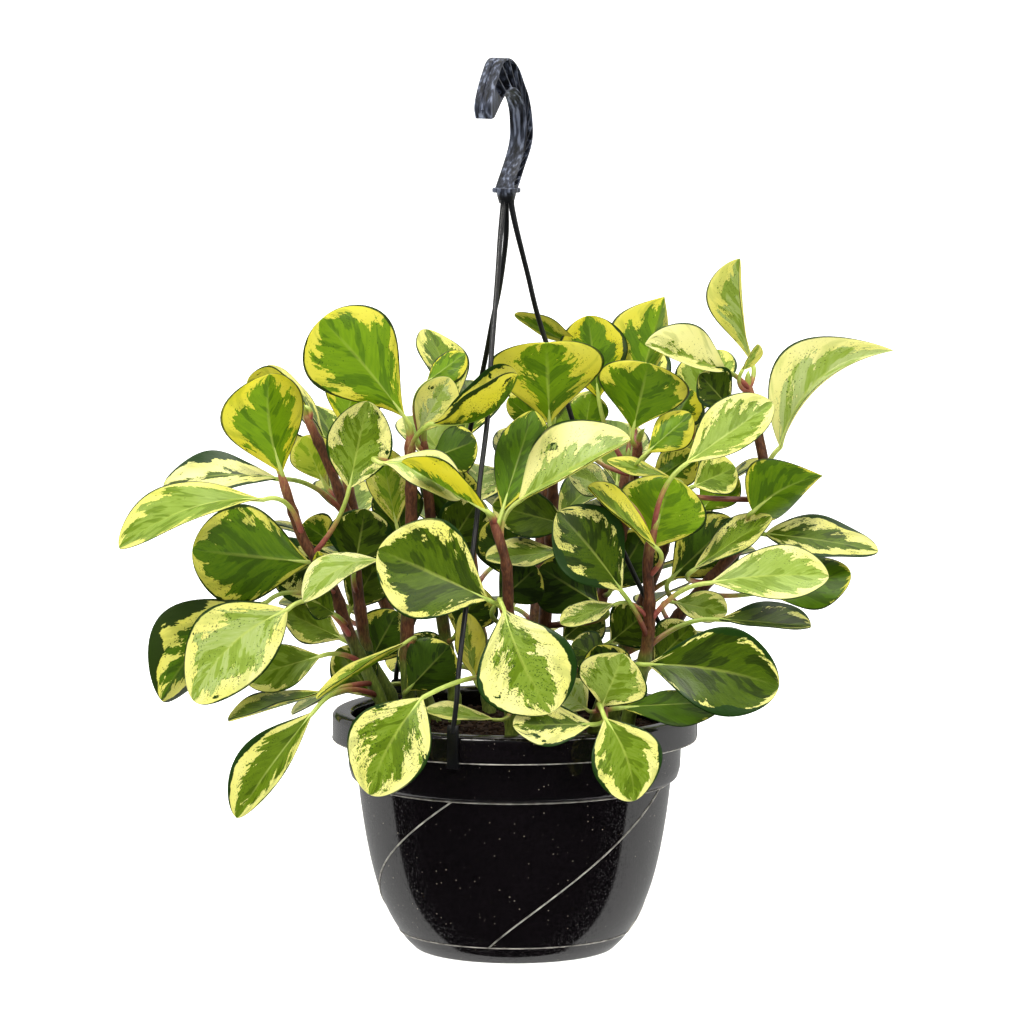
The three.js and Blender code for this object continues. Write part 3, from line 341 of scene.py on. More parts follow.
class LeafyMesh:
    """Collects the vertices, faces and point attributes of one leafy stem."""

    def __init__(self):
        self.verts, self.faces, self.slots = [], [], []
        self.attributes = {"place": [], "look": [], "extra": []}

    def add(self, verts, faces, slot, place, look, extra):
        join(self.verts, self.faces, (verts, faces))
        self.slots += [slot] * len(faces)
        self.attributes["place"] += place
        self.attributes["look"] += [look] * len(verts)
        self.attributes["extra"] += [extra] * len(verts)

    def make(self, name, materials):
        piece = add_piece(name, self.verts, self.faces, *materials)
        piece.data.polygons.foreach_set("material_index", self.slots)
        for title, values in self.attributes.items():
            layer = piece.data.attributes.new(title, "FLOAT_VECTOR", "POINT")
            layer.data.foreach_set("vector", np.array(values, np.float32).ravel())
        return piece


# Leaves
def half_width(t, leaf):
    skew = math.log(0.5) / math.log(leaf.widest)
    power = BASE_POWER * (1 - t) + leaf.blunt * t
    return leaf.width * (max(math.sin(math.pi * t ** skew), 0.0) ** power / 2)


def blade_frame(leaf):
    """The blade's directions along, up and sideways, and its length."""
    span = leaf.tip - leaf.base
    along = unit(span)
    facing = unit(leaf.toward - along * np.dot(leaf.toward, along))
    across = np.cross(along, facing)
    angle = math.radians(leaf.roll)
    up = facing * math.cos(angle) + across * math.sin(angle)
    return along, up, np.cross(along, up), np.linalg.norm(span)


def rib_point(leaf, axes, t):
    along, up, side, length = axes
    bow = 4 * t * (1 - t) * length
    return leaf.base + along * t * length + up * leaf.arch * bow + side * leaf.bend * bow


def flank_point(leaf, axes, t, s):
    """A point of the blade's middle sheet at s across, from -1 at the left edge to 1 at the right one."""
    _, up, side, _ = axes
    half, away = half_width(t, leaf), abs(s)
    lift = math.radians(leaf.left if s < 0 else leaf.right)
    spread = 0.55 if lift < 0.5 else 0.22
    point = rib_point(leaf, axes, t)
    for k in range(FLANK_STEPS):
        angle = lift * (1 - spread + 2 * spread * (k + 0.5) / FLANK_STEPS * away)
        outward = side * math.copysign(math.cos(angle), s) + up * math.sin(angle)
        point += outward * (half * away / FLANK_STEPS)
    wave = math.sin(2 * math.pi * (1.6 * t + leaf.phase + (0.4 if s < 0 else 0)))
    vein = math.cos(2 * math.pi * 5.5 * (t - 0.35 * away))
    return point + up * (0.9 * wave * away ** 3 * min(half / 14, 1) + 0.1 * vein * away * (1 - away))


def add_blade(mesh, leaf):
    """The blade, with its two faces joined along the edge and closed at its base and tip."""
    axes = blade_frame(leaf)
    up = axes[1]
    across = [-s for s in reversed(FLANK[1:])] + FLANK
    wide = len(across)
    verts, place, under, place_under = [], [], [], []
    for i in range(BLADE_ROWS):
        t = 0.5 - 0.5 * math.cos(math.pi * (i + 1) / (BLADE_ROWS + 1))
        half = half_width(t, leaf)
        for s in across:
            sheet = flank_point(leaf, axes, t, s)
            thick = leaf.thick * math.sqrt(max(1 - abs(s) ** 5, 0)) * min(1, 0.3 + half / 4)
            swell = 0.75 * math.exp(-(s * half / 1.5) ** 2) * (1 - t) ** 0.8
            groove = 0.22 * math.exp(-(s * half) ** 2) * (1 - t)
            verts.append(sheet + up * (thick - groove))
            under.append(sheet - up * (thick + swell))
            place.append((s, t, 1))
            place_under.append((s, t, 0))
    # The under face shares the edge's vertices with the upper one
    below = {}
    for n in range(len(under)):
        i, j = divmod(n, wide)
        below[i, j] = n
        if 0 < j < wide - 1:
            below[i, j] = len(verts)
            verts.append(under[n])
            place.append(place_under[n])
    base, tip, last = len(verts), len(verts) + 1, BLADE_ROWS - 1
    verts += [leaf.base, leaf.tip]
    place += [(0, 0, 0.5), (0, 1, 0.5)]
    faces = []
    for j in range(wide - 1):
        for i in range(last):
            a = i * wide + j
            faces.append((a, a + 1, a + wide + 1, a + wide))
            faces.append((below[i, j], below[i + 1, j], below[i + 1, j + 1], below[i, j + 1]))
        a = last * wide + j
        faces += [(base, j + 1, j), (base, below[0, j], below[0, j + 1])]
        faces += [(tip, a, a + 1), (tip, below[last, j + 1], below[last, j])]
    mesh.add(verts, faces, LEAF_SLOT, place, leaf.look[:3], leaf.look[3:] + (leaf.seed,))


def stalk_point(leaf, axes, t):
    reach = np.linalg.norm(leaf.base - leaf.foot) * 0.45
    bend = seen(leaf.via) if leaf.via else leaf.base - axes[0] * reach
    first = leaf.foot * (1 - t) + bend * t
    second = bend * (1 - t) + leaf.base * t
    return first * (1 - t) + second * t


def add_stalk(mesh, leaf):
    """The stalk, which runs on under the blade as its rib."""
    axes = blade_frame(leaf)
    up = axes[1]
    points, radii, place = [], [], []
    for t in np.arange(STALK_STATIONS) / (STALK_STATIONS - 1):
        points.append(stalk_point(leaf, axes, t) - up * 0.35 * t)
        radii.append(leaf.stalk * (1.35 - 0.75 * t + 0.42 * t * t))
        place.append((0, t, 0))
    for t in (0.05, 0.12, 0.2, 0.3):
        points.append(rib_point(leaf, axes, t) - up * 0.42)
        radii.append(leaf.stalk * (1.0 - 2.1 * t))
        place.append((0, 1 + t, 0))
    verts, faces = tube(points, radii, STALK_SIDES, start=up)
    spots = [p for p in place for _ in range(STALK_SIDES)] + [place[0], place[-1]]
    mesh.add(verts, faces, STALK_SLOT, spots, leaf.look[:3], leaf.look[3:] + (leaf.seed,))


# Stems
def make_stem(route, radii):
    """Points and radii of a stem, from the bottom of its hole in the soil."""
    points = [seen(p) for p in route]
    points[0][2] = max(points[0][2], SOIL_TOP + 8)
    foot = [np.array([points[0][0], points[0][1], z]) for z in (SOIL_TOP - HOLE_DEPTH, SOIL_TOP + 1)]
    return foot + points, [radii[0], radii[0]] + list(np.linspace(radii[0], radii[1], len(points)))


def stem_point(stem, height):
    """The point of a stem that shows at a height."""
    points = stem[0]
    shown = [shown_height(p) for p in points]
    for i in range(1, len(points)):
        if height <= shown[i]:
            share = (height - shown[i - 1]) / (shown[i] - shown[i - 1])
            share = min(max(share, 0), 1)
            return points[i - 1] * (1 - share) + points[i] * share
    return points[-1].copy()


def add_stem(mesh, stem, seed):
    """A stem with the slight swelling and the ring scar of each node, and a small bud on its tip."""
    points, radii = stem
    length = sum(np.linalg.norm(b - a) for a, b in zip(points, points[1:]))
    count = max(int(length / STEM_STEP), 12)
    fine = smooth_route(points, count)
    run = np.linspace(0, 1, count)
    own = np.interp(run, np.linspace(0, 1, len(radii)), radii)
    draw = random.Random(seed)
    nodes = [k * NODE_SPACING + draw.uniform(-6, 6) for k in range(1, int(length / NODE_SPACING) + 1)]
    for node in nodes:
        away = run * length - node
        own += 0.55 * np.exp(-(away / 2.2) ** 2) - 0.25 * np.exp(-((away - 6) / 4) ** 2)
    own[-4:] *= np.array([0.97, 0.9, 0.8, 0.66])
    spots = [((1 - at) * length, at * length / 100, 0) for at in run for _ in range(STEM_SIDES)]
    shape = tube(list(fine), own, STEM_SIDES)
    mesh.add(*shape, STEM_SLOT, spots + [spots[0], spots[-1]], (0, 0, 0), (0, 0, seed))
    way = unit(fine[-1] - fine[-3])
    lean = np.array([draw.uniform(-0.3, 0.3), draw.uniform(-0.3, 0.3), 0])
    bud = [fine[-1] + way * d + lean * d * d * 0.12 for d in (-2.0, 0.5, 2.5, 5.0, 7.5, 9.5)]
    shape = tube(bud, [own[-1], own[-1], 2.1, 1.9, 1.2, 0.3], STEM_SIDES)
    spots = [(0, share, 0) for share in (0.5, 0.6, 0.7, 0.8, 0.9, 1.0) for _ in range(STEM_SIDES)]
    mesh.add(*shape, STALK_SLOT, spots + [spots[0], spots[-1]], (0, 0, 0), (0.5, 0.6, seed))


# The leaves behind, by the same rule as in the CAD part
BACK_AZIMUTHS = [27, 54, 81, 106, 152]
BACK_REACH, BACK_RADII = [58, 58, 84, 108, 124], [4.4, 4.4, 4, 3.6, 3]
BACK_LEAVES, BACK_SEED = 9, 73


class Draw:
    """Repeatable numbers from 0 to 1, the same ones as in the CAD part."""

    def __init__(self, seed):
        self.state = seed

    def __call__(self):
        self.state = (self.state + 0x6D2B79F5) & 0xFFFFFFFF
        a = self.state
        mixed = ((a ^ (a >> 15)) * (1 | a)) & 0xFFFFFFFF
        mixed = ((mixed + (((mixed ^ (mixed >> 7)) * (61 | mixed)) & 0xFFFFFFFF)) & 0xFFFFFFFF) ^ mixed
        return (mixed ^ (mixed >> 14)) / 4294967296


def back_leaf(name, foot, azimuth, share, side, draw, tone):
    """A leaf at a share of a back stem's height, swung to one side of the stem's own direction."""
    heading = azimuth + math.radians(side * (28 + 34 * draw()) * (1 - share * 0.4))
    rise = math.radians(-24 + 74 * share + 10 * draw())
    direction = np.array([math.cos(heading), math.sin(heading), 0])
    stalk = 16 + 10 * draw()
    length = 50 + 16 * draw()
    base = foot + direction * stalk * math.cos(rise)
    base[2] += stalk * math.sin(rise + 0.4)
    tip = base + direction * length * math.cos(rise)
    tip[2] += length * math.sin(rise)
    width = 40 + 10 * draw()
    roll = -20 + 40 * draw()
    ranges = ((0.35, 0.85), (0.04, 0.3), (0.1, 0.5), (0.2, 0.6), (0.25, 0.7))
    look = tuple(tone.uniform(low, high) for low, high in ranges)
    leaf = Leaf(name, foot, base, tip, width, look, roll, arch=0.06)
    leaf.toward = unit(np.array([0, 0, 1.0]) - 0.2 * direction)
    return leaf


def back_stems(stems, leaves):
    draw = Draw(BACK_SEED)
    for i, degrees in enumerate(BACK_AZIMUTHS):
        azimuth = math.radians(degrees)
        outward = np.array([math.cos(azimuth), math.sin(azimuth), 0])
        height = 288 + 26 * draw()
        name = "back_%d" % (i + 1)
        heights = [SOIL_TOP - HOLE_DEPTH] + [SOIL_TOP + 1 + k / 3 * (height - SOIL_TOP) for k in range(4)]
        points = [outward * reach + np.array([0, 0, z]) for reach, z in zip(BACK_REACH, heights)]
        stems[name] = (points, BACK_RADII)
        for k in range(BACK_LEAVES):
            share = 0.12 + 0.88 * k / (BACK_LEAVES - 1)
            part, along = divmod(min(share * 3, 2.999), 1)
            low, high = points[1 + int(part)], points[2 + int(part)]
            foot = low + (high - low) * along
            side = 1 if k % 2 == 0 else -1
            leaves.append(back_leaf(name, foot, azimuth, share, side, draw, random.Random(len(leaves))))


def gather():
    """Every stem, and every leaf with its real places and its own numbers."""
    stems = {name: make_stem(*entry) for name, entry in STEMS.items()}
    for leaf in LEAVES:
        leaf.base, leaf.tip = seen(leaf.base), seen(leaf.tip)
        leaf.foot = stem_point(stems[leaf.stem], leaf.foot)
        leaf.toward = unit(EYE - leaf.base)
    leaves = list(LEAVES)
    back_stems(stems, leaves)
    for i, leaf in enumerate(leaves):
        leaf.seed = i * 1.37
        leaf.phase = (i * 0.617) % 1
        if leaf.width > WIDE_LEAF:
            leaf.thick, leaf.stalk = WIDE_THICK, WIDE_STALK
    return stems, leaves


# Materials
def linear(code):
    """A colour from its six hexadecimal digits."""
    parts = [int(code[i:i + 2], 16) / 255 for i in (0, 2, 4)]
    return tuple(p / 12.92 if p <= 0.04045 else ((p + 0.055) / 1.055) ** 2.4 for p in parts) + (1.0,)


class Varying:
    """A number that changes from place to place. Plain arithmetic on it adds Math nodes."""

    def __init__(self, graph, socket):
        self.graph, self.socket = graph, socket

    def __add__(self, other):
        return self.graph.math("ADD", self, other)

    def __sub__(self, other):
        return self.graph.math("SUBTRACT", self, other)

    def __rsub__(self, other):
        return self.graph.math("SUBTRACT", other, self)

    def __mul__(self, other):
        return self.graph.math("MULTIPLY", self, other)


class Graph:
    """Short calls for the nodes of one node tree. An underscore in an input's name stands for a space."""

    def __init__(self, tree):
        self.nodes, self.links = tree.nodes, tree.links

    def put(self, socket, value):
        value = value.socket if isinstance(value, Varying) else value
        if isinstance(value, bpy.types.NodeSocket):
            self.links.new(value, socket)
        else:
            socket.default_value = value

    def fill(self, node, **inputs):
        for name, value in inputs.items():
            self.put(node.inputs[name.replace("_", " ")], value)

    def new(self, kind, **inputs):
        node = self.nodes.new("ShaderNode" + kind)
        self.fill(node, **inputs)
        return node

    def math(self, operation, *values, clamp=False):
        node = self.new("Math")
        node.operation, node.use_clamp = operation, clamp
        for socket, value in zip(node.inputs, values):
            self.put(socket, value)
        return Varying(self, node.outputs[0])

    def climb(self, value, low, high, top=1.0):
        """0 up to the low value, then straight up to the top at the high value, and level beyond."""
        node = self.new("MapRange", Value=value, From_Min=low, From_Max=high, To_Max=top)
        return Varying(self, node.outputs["Result"])

    def step(self, value, edge, soft):
        """0 below the edge and 1 above it, with a soft change."""
        rise = self.new("MapRange", Value=value, From_Min=edge - soft, From_Max=edge + soft)
        rise.interpolation_type = "SMOOTHSTEP"
        return Varying(self, rise.outputs["Result"])

    def mix(self, share, first, second):
        node = self.new("Mix")
        node.data_type = "RGBA"
        self.put(node.inputs["Factor"], share)
        for socket, colour in zip([s for s in node.inputs if s.type == "RGBA"], (first, second)):
            self.put(socket, colour)
        return [s for s in node.outputs if s.type == "RGBA"][0]

    def split(self, vector):
        return [Varying(self, part) for part in self.new("SeparateXYZ", Vector=vector).outputs]

    def attribute(self, name):
        node = self.new("Attribute")
        node.attribute_name = name
        return self.split(node.outputs["Vector"])

    def vector(self, x, y, z):
        return self.new("CombineXYZ", X=x, Y=y, Z=z).outputs[0]

    def squeezed(self, where, height):
        """Places with their height multiplied, which draws a pattern out along it."""
        return self.new("Mapping", Vector=where, Scale=(1.0, 1.0, height)).outputs[0]

    def noise(self, where, scale, detail=2.0, rough=0.5):
        node = self.new("TexNoise", Vector=where, Scale=scale, Detail=detail, Roughness=rough)
        return Varying(self, node.outputs["Fac"])

    def cells(self, where, scale):
        """Distance to the nearest point of a scatter, and a random number for that point."""
        node = self.new("TexVoronoi", Vector=where, Scale=scale)
        return Varying(self, node.outputs["Distance"]), self.split(node.outputs["Color"])[0]

    def ramp(self, value, *stops):
        node = self.new("ValToRGB", Fac=value)
        elements = node.color_ramp.elements
        while len(elements) < len(stops):
            elements.new(0.5)
        for element, (at, code) in zip(elements, stops):
            element.position, element.color = at, linear(code)
        return node.outputs["Color"]

    def object_place(self):
        return self.new("TexCoord").outputs["Object"]


class Surface(Graph):
    """A material. What is the same all over it is set when it is made."""

    def __init__(self, name, **constants):
        self.material = bpy.data.materials.new(name)
        self.material.use_nodes = True
        super().__init__(self.material.node_tree)
        self.skin = self.nodes["Principled BSDF"]
        self.fill(self.skin, **constants)

    def finish(self, **inputs):
        self.fill(self.skin, **inputs)
        return self.material

    def bump(self, height, distance, strength):
        node = self.new("Bump", Strength=strength, Distance=distance, Height=height)
        return node.outputs["Normal"]


def leaf_material():
    sh = Surface("variegated_leaf", Specular_IOR_Level=0.22, Coat_Weight=0.07, Coat_Roughness=0.12)
    s, t, face = sh.attribute("place")
    green, margin, speckle = sh.attribute("look")
    yellow, dark, seed = sh.attribute("extra")
    away = sh.math("ABSOLUTE", s)
    own = seed * 2.3 + sh.math("GREATER_THAN", s, 0.0) * 3.7
    vein = t - away * 0.4
    streak = sh.vector(away * 1.7, vein * 6.5, own)
    flat = sh.vector(s, t * 2.0, seed * 3.1)
    big = sh.noise(streak, 1.0, 4.0, 0.68)
    layer = sh.noise(streak, 0.8, 3.0, 0.55)
    thin = sh.noise(sh.vector(away * 5.0, vein * 30.0, own), 1.0)
    blob = sh.noise(flat, 2.6, 4.0, 0.62)
    dots = sh.noise(flat, 30.0, 2.0, 0.6)
    wide = sh.noise(flat, 1.3, 1.0)

    # How far the green flame reaches from the rib
    belly = sh.math("SINE", sh.math("POWER", t, 0.8) * 3.0)
    reach = green * (belly * 0.75 + 0.45)
    edge = reach + (big - 0.5) * 1.7 + (blob - 0.5) * 0.9 - away
    flame = sh.step(edge, 0.0, 0.02)

    # The dark margin: a thin line all round, and teeth that reach in from it
    band = margin * (wide * 2.0 - 0.55 + (big - 0.42) * 1.4)
    teeth = sh.step(away + ((blob - 0.5) * 0.1 + band * 0.6), 0.98, 0.01)
    line = sh.step(away, 0.952, 0.012) * (blob * 1.2 + 0.35)
    rim = sh.math("MAXIMUM", teeth, line, clamp=True)

    # Patches and dots of dark green, closest together beside the flame
    patch = sh.step(blob, speckle * -0.14 + 0.69, 0.012)
    near = sh.math("ABSOLUTE", edge) * 0.25 + 0.635
    dot = sh.step(dots, speckle * -0.16 + near, 0.02)
    spots = sh.math("MAXIMUM", patch * (1.0 - flame), dot * 0.75)

    # Colours of both faces, the green in two layers with a hard border between them. The under face's more
    # vivid yellow-greens are partly the paler real underside and partly painted backlight shining through the
    # blade, and the upper face's greyer greens are partly a painted sheen
    tone = sh.math("ADD", (wide - 0.5) * 0.6, yellow, clamp=True)
    pale_up_with_painted_sheen = sh.ramp(tone, (0.0, "DEDCA2"), (0.4, "D7D57C"), (1.0, "CBC53C"))
    pale_down_with_painted_backlight = sh.ramp(tone, (0.0, "D6D482"), (0.4, "D1CE58"), (1.0, "C6BF24"))
    # The leaf's darkness deepens the green: partly its own tone, partly painted shade on leaves inside the
    # plant and in shadow
    depth = (thin - 0.5) * 0.25 + dark + sh.step(layer, 0.53, 0.02) * 0.17
    depth = sh.math("SUBTRACT", depth, 0.04, clamp=True)
    green_up_with_painted_sheen = sh.ramp(depth, (0.0, "B4C089"), (0.25, "8FA54A"), (0.5, "698218"), (0.75, "455B04"),
                       (1.0, "1F2F03"))
    green_down_with_painted_backlight = sh.ramp(depth, (0.0, "ACBA38"), (0.25, "769808"), (0.5, "527402"), (0.75, "3B5602"),
                         (1.0, "1C2F02"))
    leafy = sh.mix(face, green_down_with_painted_backlight, green_up_with_painted_sheen)
    pale = sh.mix(sh.step(layer, 0.56, 0.06) * 0.3, sh.mix(face, pale_down_with_painted_backlight, pale_up_with_painted_sheen), leafy)
    deep = sh.mix(face, linear("283C04"), linear("1F3C0C"))
    colour = sh.mix(flame, pale, leafy)
    colour = sh.mix(spots, colour, deep)
    colour = sh.mix(rim, colour, deep)
    rib = sh.step(away * -1.0, -0.03, 0.02) * (1.0 - t)
    colour = sh.mix(rib * 0.55, colour, linear("B9C463"))
    rough = face * -0.14 + 0.46 + (dots - 0.5) * 0.12
    return sh.finish(Base_Color=colour, Roughness=rough, Normal=sh.bump(dots * 0.4 + thin * 0.6, 0.0006, 0.5))


def stalk_material():
    sh = Surface("leaf_stalk", Specular_IOR_Level=0.5, Coat_Weight=0.15, Coat_Roughness=0.3)
    t = sh.attribute("place")[1]
    dark, seed = sh.attribute("extra")[1:]
    grain = sh.noise(sh.object_place(), 420.0, 3.0)
    along = t + (grain - 0.5) * 0.35
    along = sh.math("ADD", along, sh.math("FRACT", seed) * 0.3 - 0.15, clamp=True)
    young = sh.ramp(along, (0.0, "7E3B33"), (0.22, "A85A58"), (0.45, "B98E5A"), (0.62, "A9B455"),
                    (1.0, "C3CF72"))
    # Stalks of darker leaves take these browner, darker colours: partly older stalks, partly painted shade
    old_and_shaded = sh.ramp(along, (0.0, "5E3425"), (0.25, "7A4A30"), (0.5, "7F8438"), (0.75, "7F9A34"),
                  (1.0, "A9BE58"))
    return sh.finish(Base_Color=sh.mix(dark, young, old_and_shaded), Roughness=grain * 0.2 + 0.32,
                     Normal=sh.bump(grain, 0.0004, 0.5))


def stem_material():
    """Green at the foot, brown above it and reddish towards the tip."""
    sh = Surface("reddish_stem", Specular_IOR_Level=0.4)
    left, along = sh.attribute("place")[:2]
    where = sh.object_place()
    streaks = sh.noise(sh.squeezed(where, 0.3), 900.0, 3.0, 0.6)
    blotch = sh.noise(where, 60.0)
    value = streaks * 0.6 + blotch * 0.4
    brown = sh.ramp(value, (0.25, "24140A"), (0.45, "4A2A18"), (0.6, "6E452A"), (0.8, "877A3E"))
    green = sh.ramp(value, (0.25, "3B4A14"), (0.45, "5C6E24"), (0.6, "7C8C3A"), (0.8, "98A456"))
    red = sh.ramp(value, (0.3, "6B3A2C"), (0.5, "9A6048"), (0.7, "9C9A50"))
    colour = sh.mix(sh.step((blotch - 0.5) * 0.9 + along, 0.72, 0.22), green, brown)
    colour = sh.mix((1.0 - sh.step(left, 12.0, 9.0)) * 0.7, colour, red)
    return sh.finish(Base_Color=colour, Roughness=streaks * 0.25 + 0.38, Normal=sh.bump(streaks, 0.0004, 0.4))


def pot_material():
    """Black with pale specks of soil and a fine relief of drops."""
    sh = Surface("gloss_black_plastic", Specular_IOR_Level=0.5)
    where = sh.object_place()
    black = sh.ramp(sh.noise(where, 1100.0), (0.35, "060506"), (0.65, "161216"))
    gap, chance = sh.cells(where, 330.0)
    speck = 1.0 - sh.step(gap, chance * 0.34 - 0.2, 0.03)
    gap, chance = sh.cells(where, 760.0)
    drops = 1.0 - sh.step(gap, chance * 0.5 - 0.1, 0.16)
    return sh.finish(Base_Color=sh.mix(speck * 0.7, black, linear("9A9387")),
                     Roughness=sh.noise(where, 14.0, 3.0) * 0.08 + 0.045, Normal=sh.bump(drops, 0.0006, 0.22))


def worn_and_highlight_material():
    """The ridges and edges of the pot, pale: partly rubbed wear and partly a painted highlight where they
    catch the light.
    """
    sh = Surface("rubbed_and_highlit_plastic_edge", Specular_IOR_Level=0.5)
    rub_and_highlight = sh.noise(sh.object_place(), 160.0, 3.0)
    return sh.finish(Base_Color=sh.ramp(rub_and_highlight, (0.3, "53504D"), (0.65, "B2AFA9")), Roughness=rub_and_highlight * 0.2 + 0.3)


def hanger_material():
    """Streaked slate from the hook's collar up, and black strands below it. Hook and strands are one plastic:
    the strands' black is painted shade for the dark room that they mirror.
    """
    sh = Surface("slate_plastic_with_painted_shade", Specular_IOR_Level=0.5)
    where = sh.object_place()
    grain = sh.noise(where, 700.0, 3.0)
    drawn = sh.noise(sh.squeezed(where, 0.12), 420.0, 3.0)
    slate = sh.ramp(drawn, (0.38, "13151C"), (0.54, "3A3F4D"), (0.68, "7A8296"))
    black = sh.ramp(sh.noise(where, 40.0), (0.3, "0C0D10"), (0.7, "1A1C22"))
    # Below the collar the strands are painted near black, painted shade for the dark that they mirror
    colour = sh.mix(sh.step(sh.split(where)[2], 0.477, 0.002), black, slate)
    return sh.finish(Base_Color=colour, Roughness=grain * 0.2 + 0.28, Normal=sh.bump(grain, 0.0004, 0.35))


def soil_material():
    sh = Surface("potting_soil", Specular_IOR_Level=0.2)
    where = sh.object_place()
    crumb = sh.noise(where, 260.0, 4.0, 0.65)
    grit = sh.noise(where, 900.0)
    earth = sh.ramp(crumb, (0.3, "150D09"), (0.5, "2B1C13"), (0.65, "43301F"), (0.8, "6A5136"))
    colour = sh.mix(sh.step(grit, 0.74, 0.02), earth, linear("8C7A5C"))
    return sh.finish(Base_Color=colour, Roughness=grit * 0.2 + 0.78, Normal=sh.bump(crumb, 0.002, 0.8))


# Pot, in the same sizes as the CAD part, with round edges and the four swirl ridges
RIM_RADIUS, SKIRT_BOTTOM, RIM_TOP, BODY_TOP, BODY_BOTTOM, WALL = 115.0, 134.0, 151.0, 107.5, 11.5, 2.0
RIDGES, RIDGE_START, RIDGE_SWEEP, RIDGE_RADIUS = 4, math.radians(-113), math.radians(80), 0.55
# Thin rings of the pale edge material at the body's top, its foot and the skirt's lower edge: painted
# highlight lines along these steps, with some wear
WORN_AND_HIGHLIT_EDGES = [(98.9, BODY_TOP - 0.3), (72.9, BODY_BOTTOM + 0.2), (RIM_RADIUS - 0.2, SKIRT_BOTTOM + 0.3)]
WORN_AND_HIGHLIT_RADIUS = 0.45
BELLY = [(72.6, BODY_BOTTOM), (79.1, 22), (84.4, 34.5), (88.6, 47), (91.7, 60), (94, 72), (95.9, 84),
         (97.6, 96), (98.8, BODY_TOP)]
POT_SIDES, SOIL_SIDES = 240, 120


def rounded(points, radius, steps=3):
    """A profile with its corners rounded. Each corner's radius is cut to a third of its shorter side."""
    out = [points[0]]
    for before, here, after in zip(points, points[1:], points[2:]):
        here = np.array(here)
        a, b = before - here, after - here
        cut = min(radius, np.linalg.norm(a) * 0.34, np.linalg.norm(b) * 0.34)
        start, end = here + unit(a) * cut, here + unit(b) * cut
        for t in np.arange(steps + 1) / steps:
            out.append(tuple(start * (1 - t) ** 2 + here * 2 * t * (1 - t) + end * t * t))
    return out + [points[-1]]


def denser(points, longest):
    """A profile with points added on its longer lines."""
    out = [points[0]]
    for a, b in zip(points, points[1:]):
        count = max(int(math.dist(a, b) / longest), 1)
        out += [tuple(np.array(a) + (np.array(b) - a) * k / count) for k in range(1, count + 1)]
    return out


def turned(profile, sides):
    """Rings of vertices: a profile of radius and height turned about the upright axis."""
    angles = [2 * math.pi * k / sides for k in range(sides)]
    return [(math.cos(a) * radius, math.sin(a) * radius, z) for radius, z in profile for a in angles]


def make_pot(material, worn_and_highlight):
    bend = np.polyfit([z for _, z in BELLY], [radius for radius, _ in BELLY], 4)
    belly = [(np.polyval(bend, z), z) for z in np.linspace(BODY_BOTTOM, BODY_TOP, 40)]
    foot = [(0.0, 1.2), (50, 1.2), (52, 0), (62.5, 0), (69, 6.4), belly[0]]
    inner = RIM_RADIUS - WALL
    neck = [belly[-1], (102.9, 109.5), (104.8, 116), (106, RIM_TOP - 3.5), (inner, RIM_TOP - 3.5),
            (inner, SKIRT_BOTTOM), (RIM_RADIUS, SKIRT_BOTTOM), (RIM_RADIUS, RIM_TOP - 2),
            (RIM_RADIUS - 2, RIM_TOP), (104.2, RIM_TOP), (102.3, RIM_TOP - 2), (101.6, 117), (96.6, BODY_TOP),
            (90.4, 64), (82.1, 34), (72.6, 15), (60, WALL + 0.6), (0.0, WALL + 0.6)]
    profile = denser(rounded(foot, 2.0) + belly[1:-1] + rounded(neck, 2.0), 3.0)
    verts, faces = turned(profile, POT_SIDES), closed_faces(len(profile), POT_SIDES)
    shell = len(faces)
    outside = profile[:profile.index(max(profile))]
    radii, heights = zip(*[p for p in outside if BODY_BOTTOM - 0.5 <= p[1] <= BODY_TOP + 0.5])
    for ridge in range(RIDGES):
        points = []
        for share in np.linspace(0, 1, 121):
            z = BODY_BOTTOM + share * (BODY_TOP - BODY_BOTTOM)
            angle = RIDGE_START + ridge * 2 * math.pi / RIDGES + RIDGE_SWEEP * (share - 1)
            reach = np.interp(z, heights, radii) + 0.1
            points.append(np.array([math.cos(angle) * reach, math.sin(angle) * reach, z]))
        join(verts, faces, tube(points, [RIDGE_RADIUS] * len(points), 8))
    turn = np.linspace(0, 2 * math.pi, POT_SIDES + 1)
    for radius, z in WORN_AND_HIGHLIT_EDGES:
        ring = [np.array([math.cos(a) * radius, math.sin(a) * radius, z]) for a in turn]
        join(verts, faces, tube(ring, [WORN_AND_HIGHLIT_RADIUS] * len(ring), 8))
    pot = add_piece("hanging_pot", verts, faces, material, worn_and_highlight)
    # The ridges and rings take the second, pale material: painted highlight and wear
    pot.data.polygons.foreach_set("material_index", [int(i >= shell) for i in range(len(faces))])
    face_outwards(pot, sharp=40)
    return pot


# Soil: where its flat top ends, the slope and height of its edge, and how many mounds and crumbs it has
SOIL_FLAT, SOIL_SLOPE, SOIL_EDGE = 88, 0.48, 134
MOUNDS, CRUMBS = 120, 1500


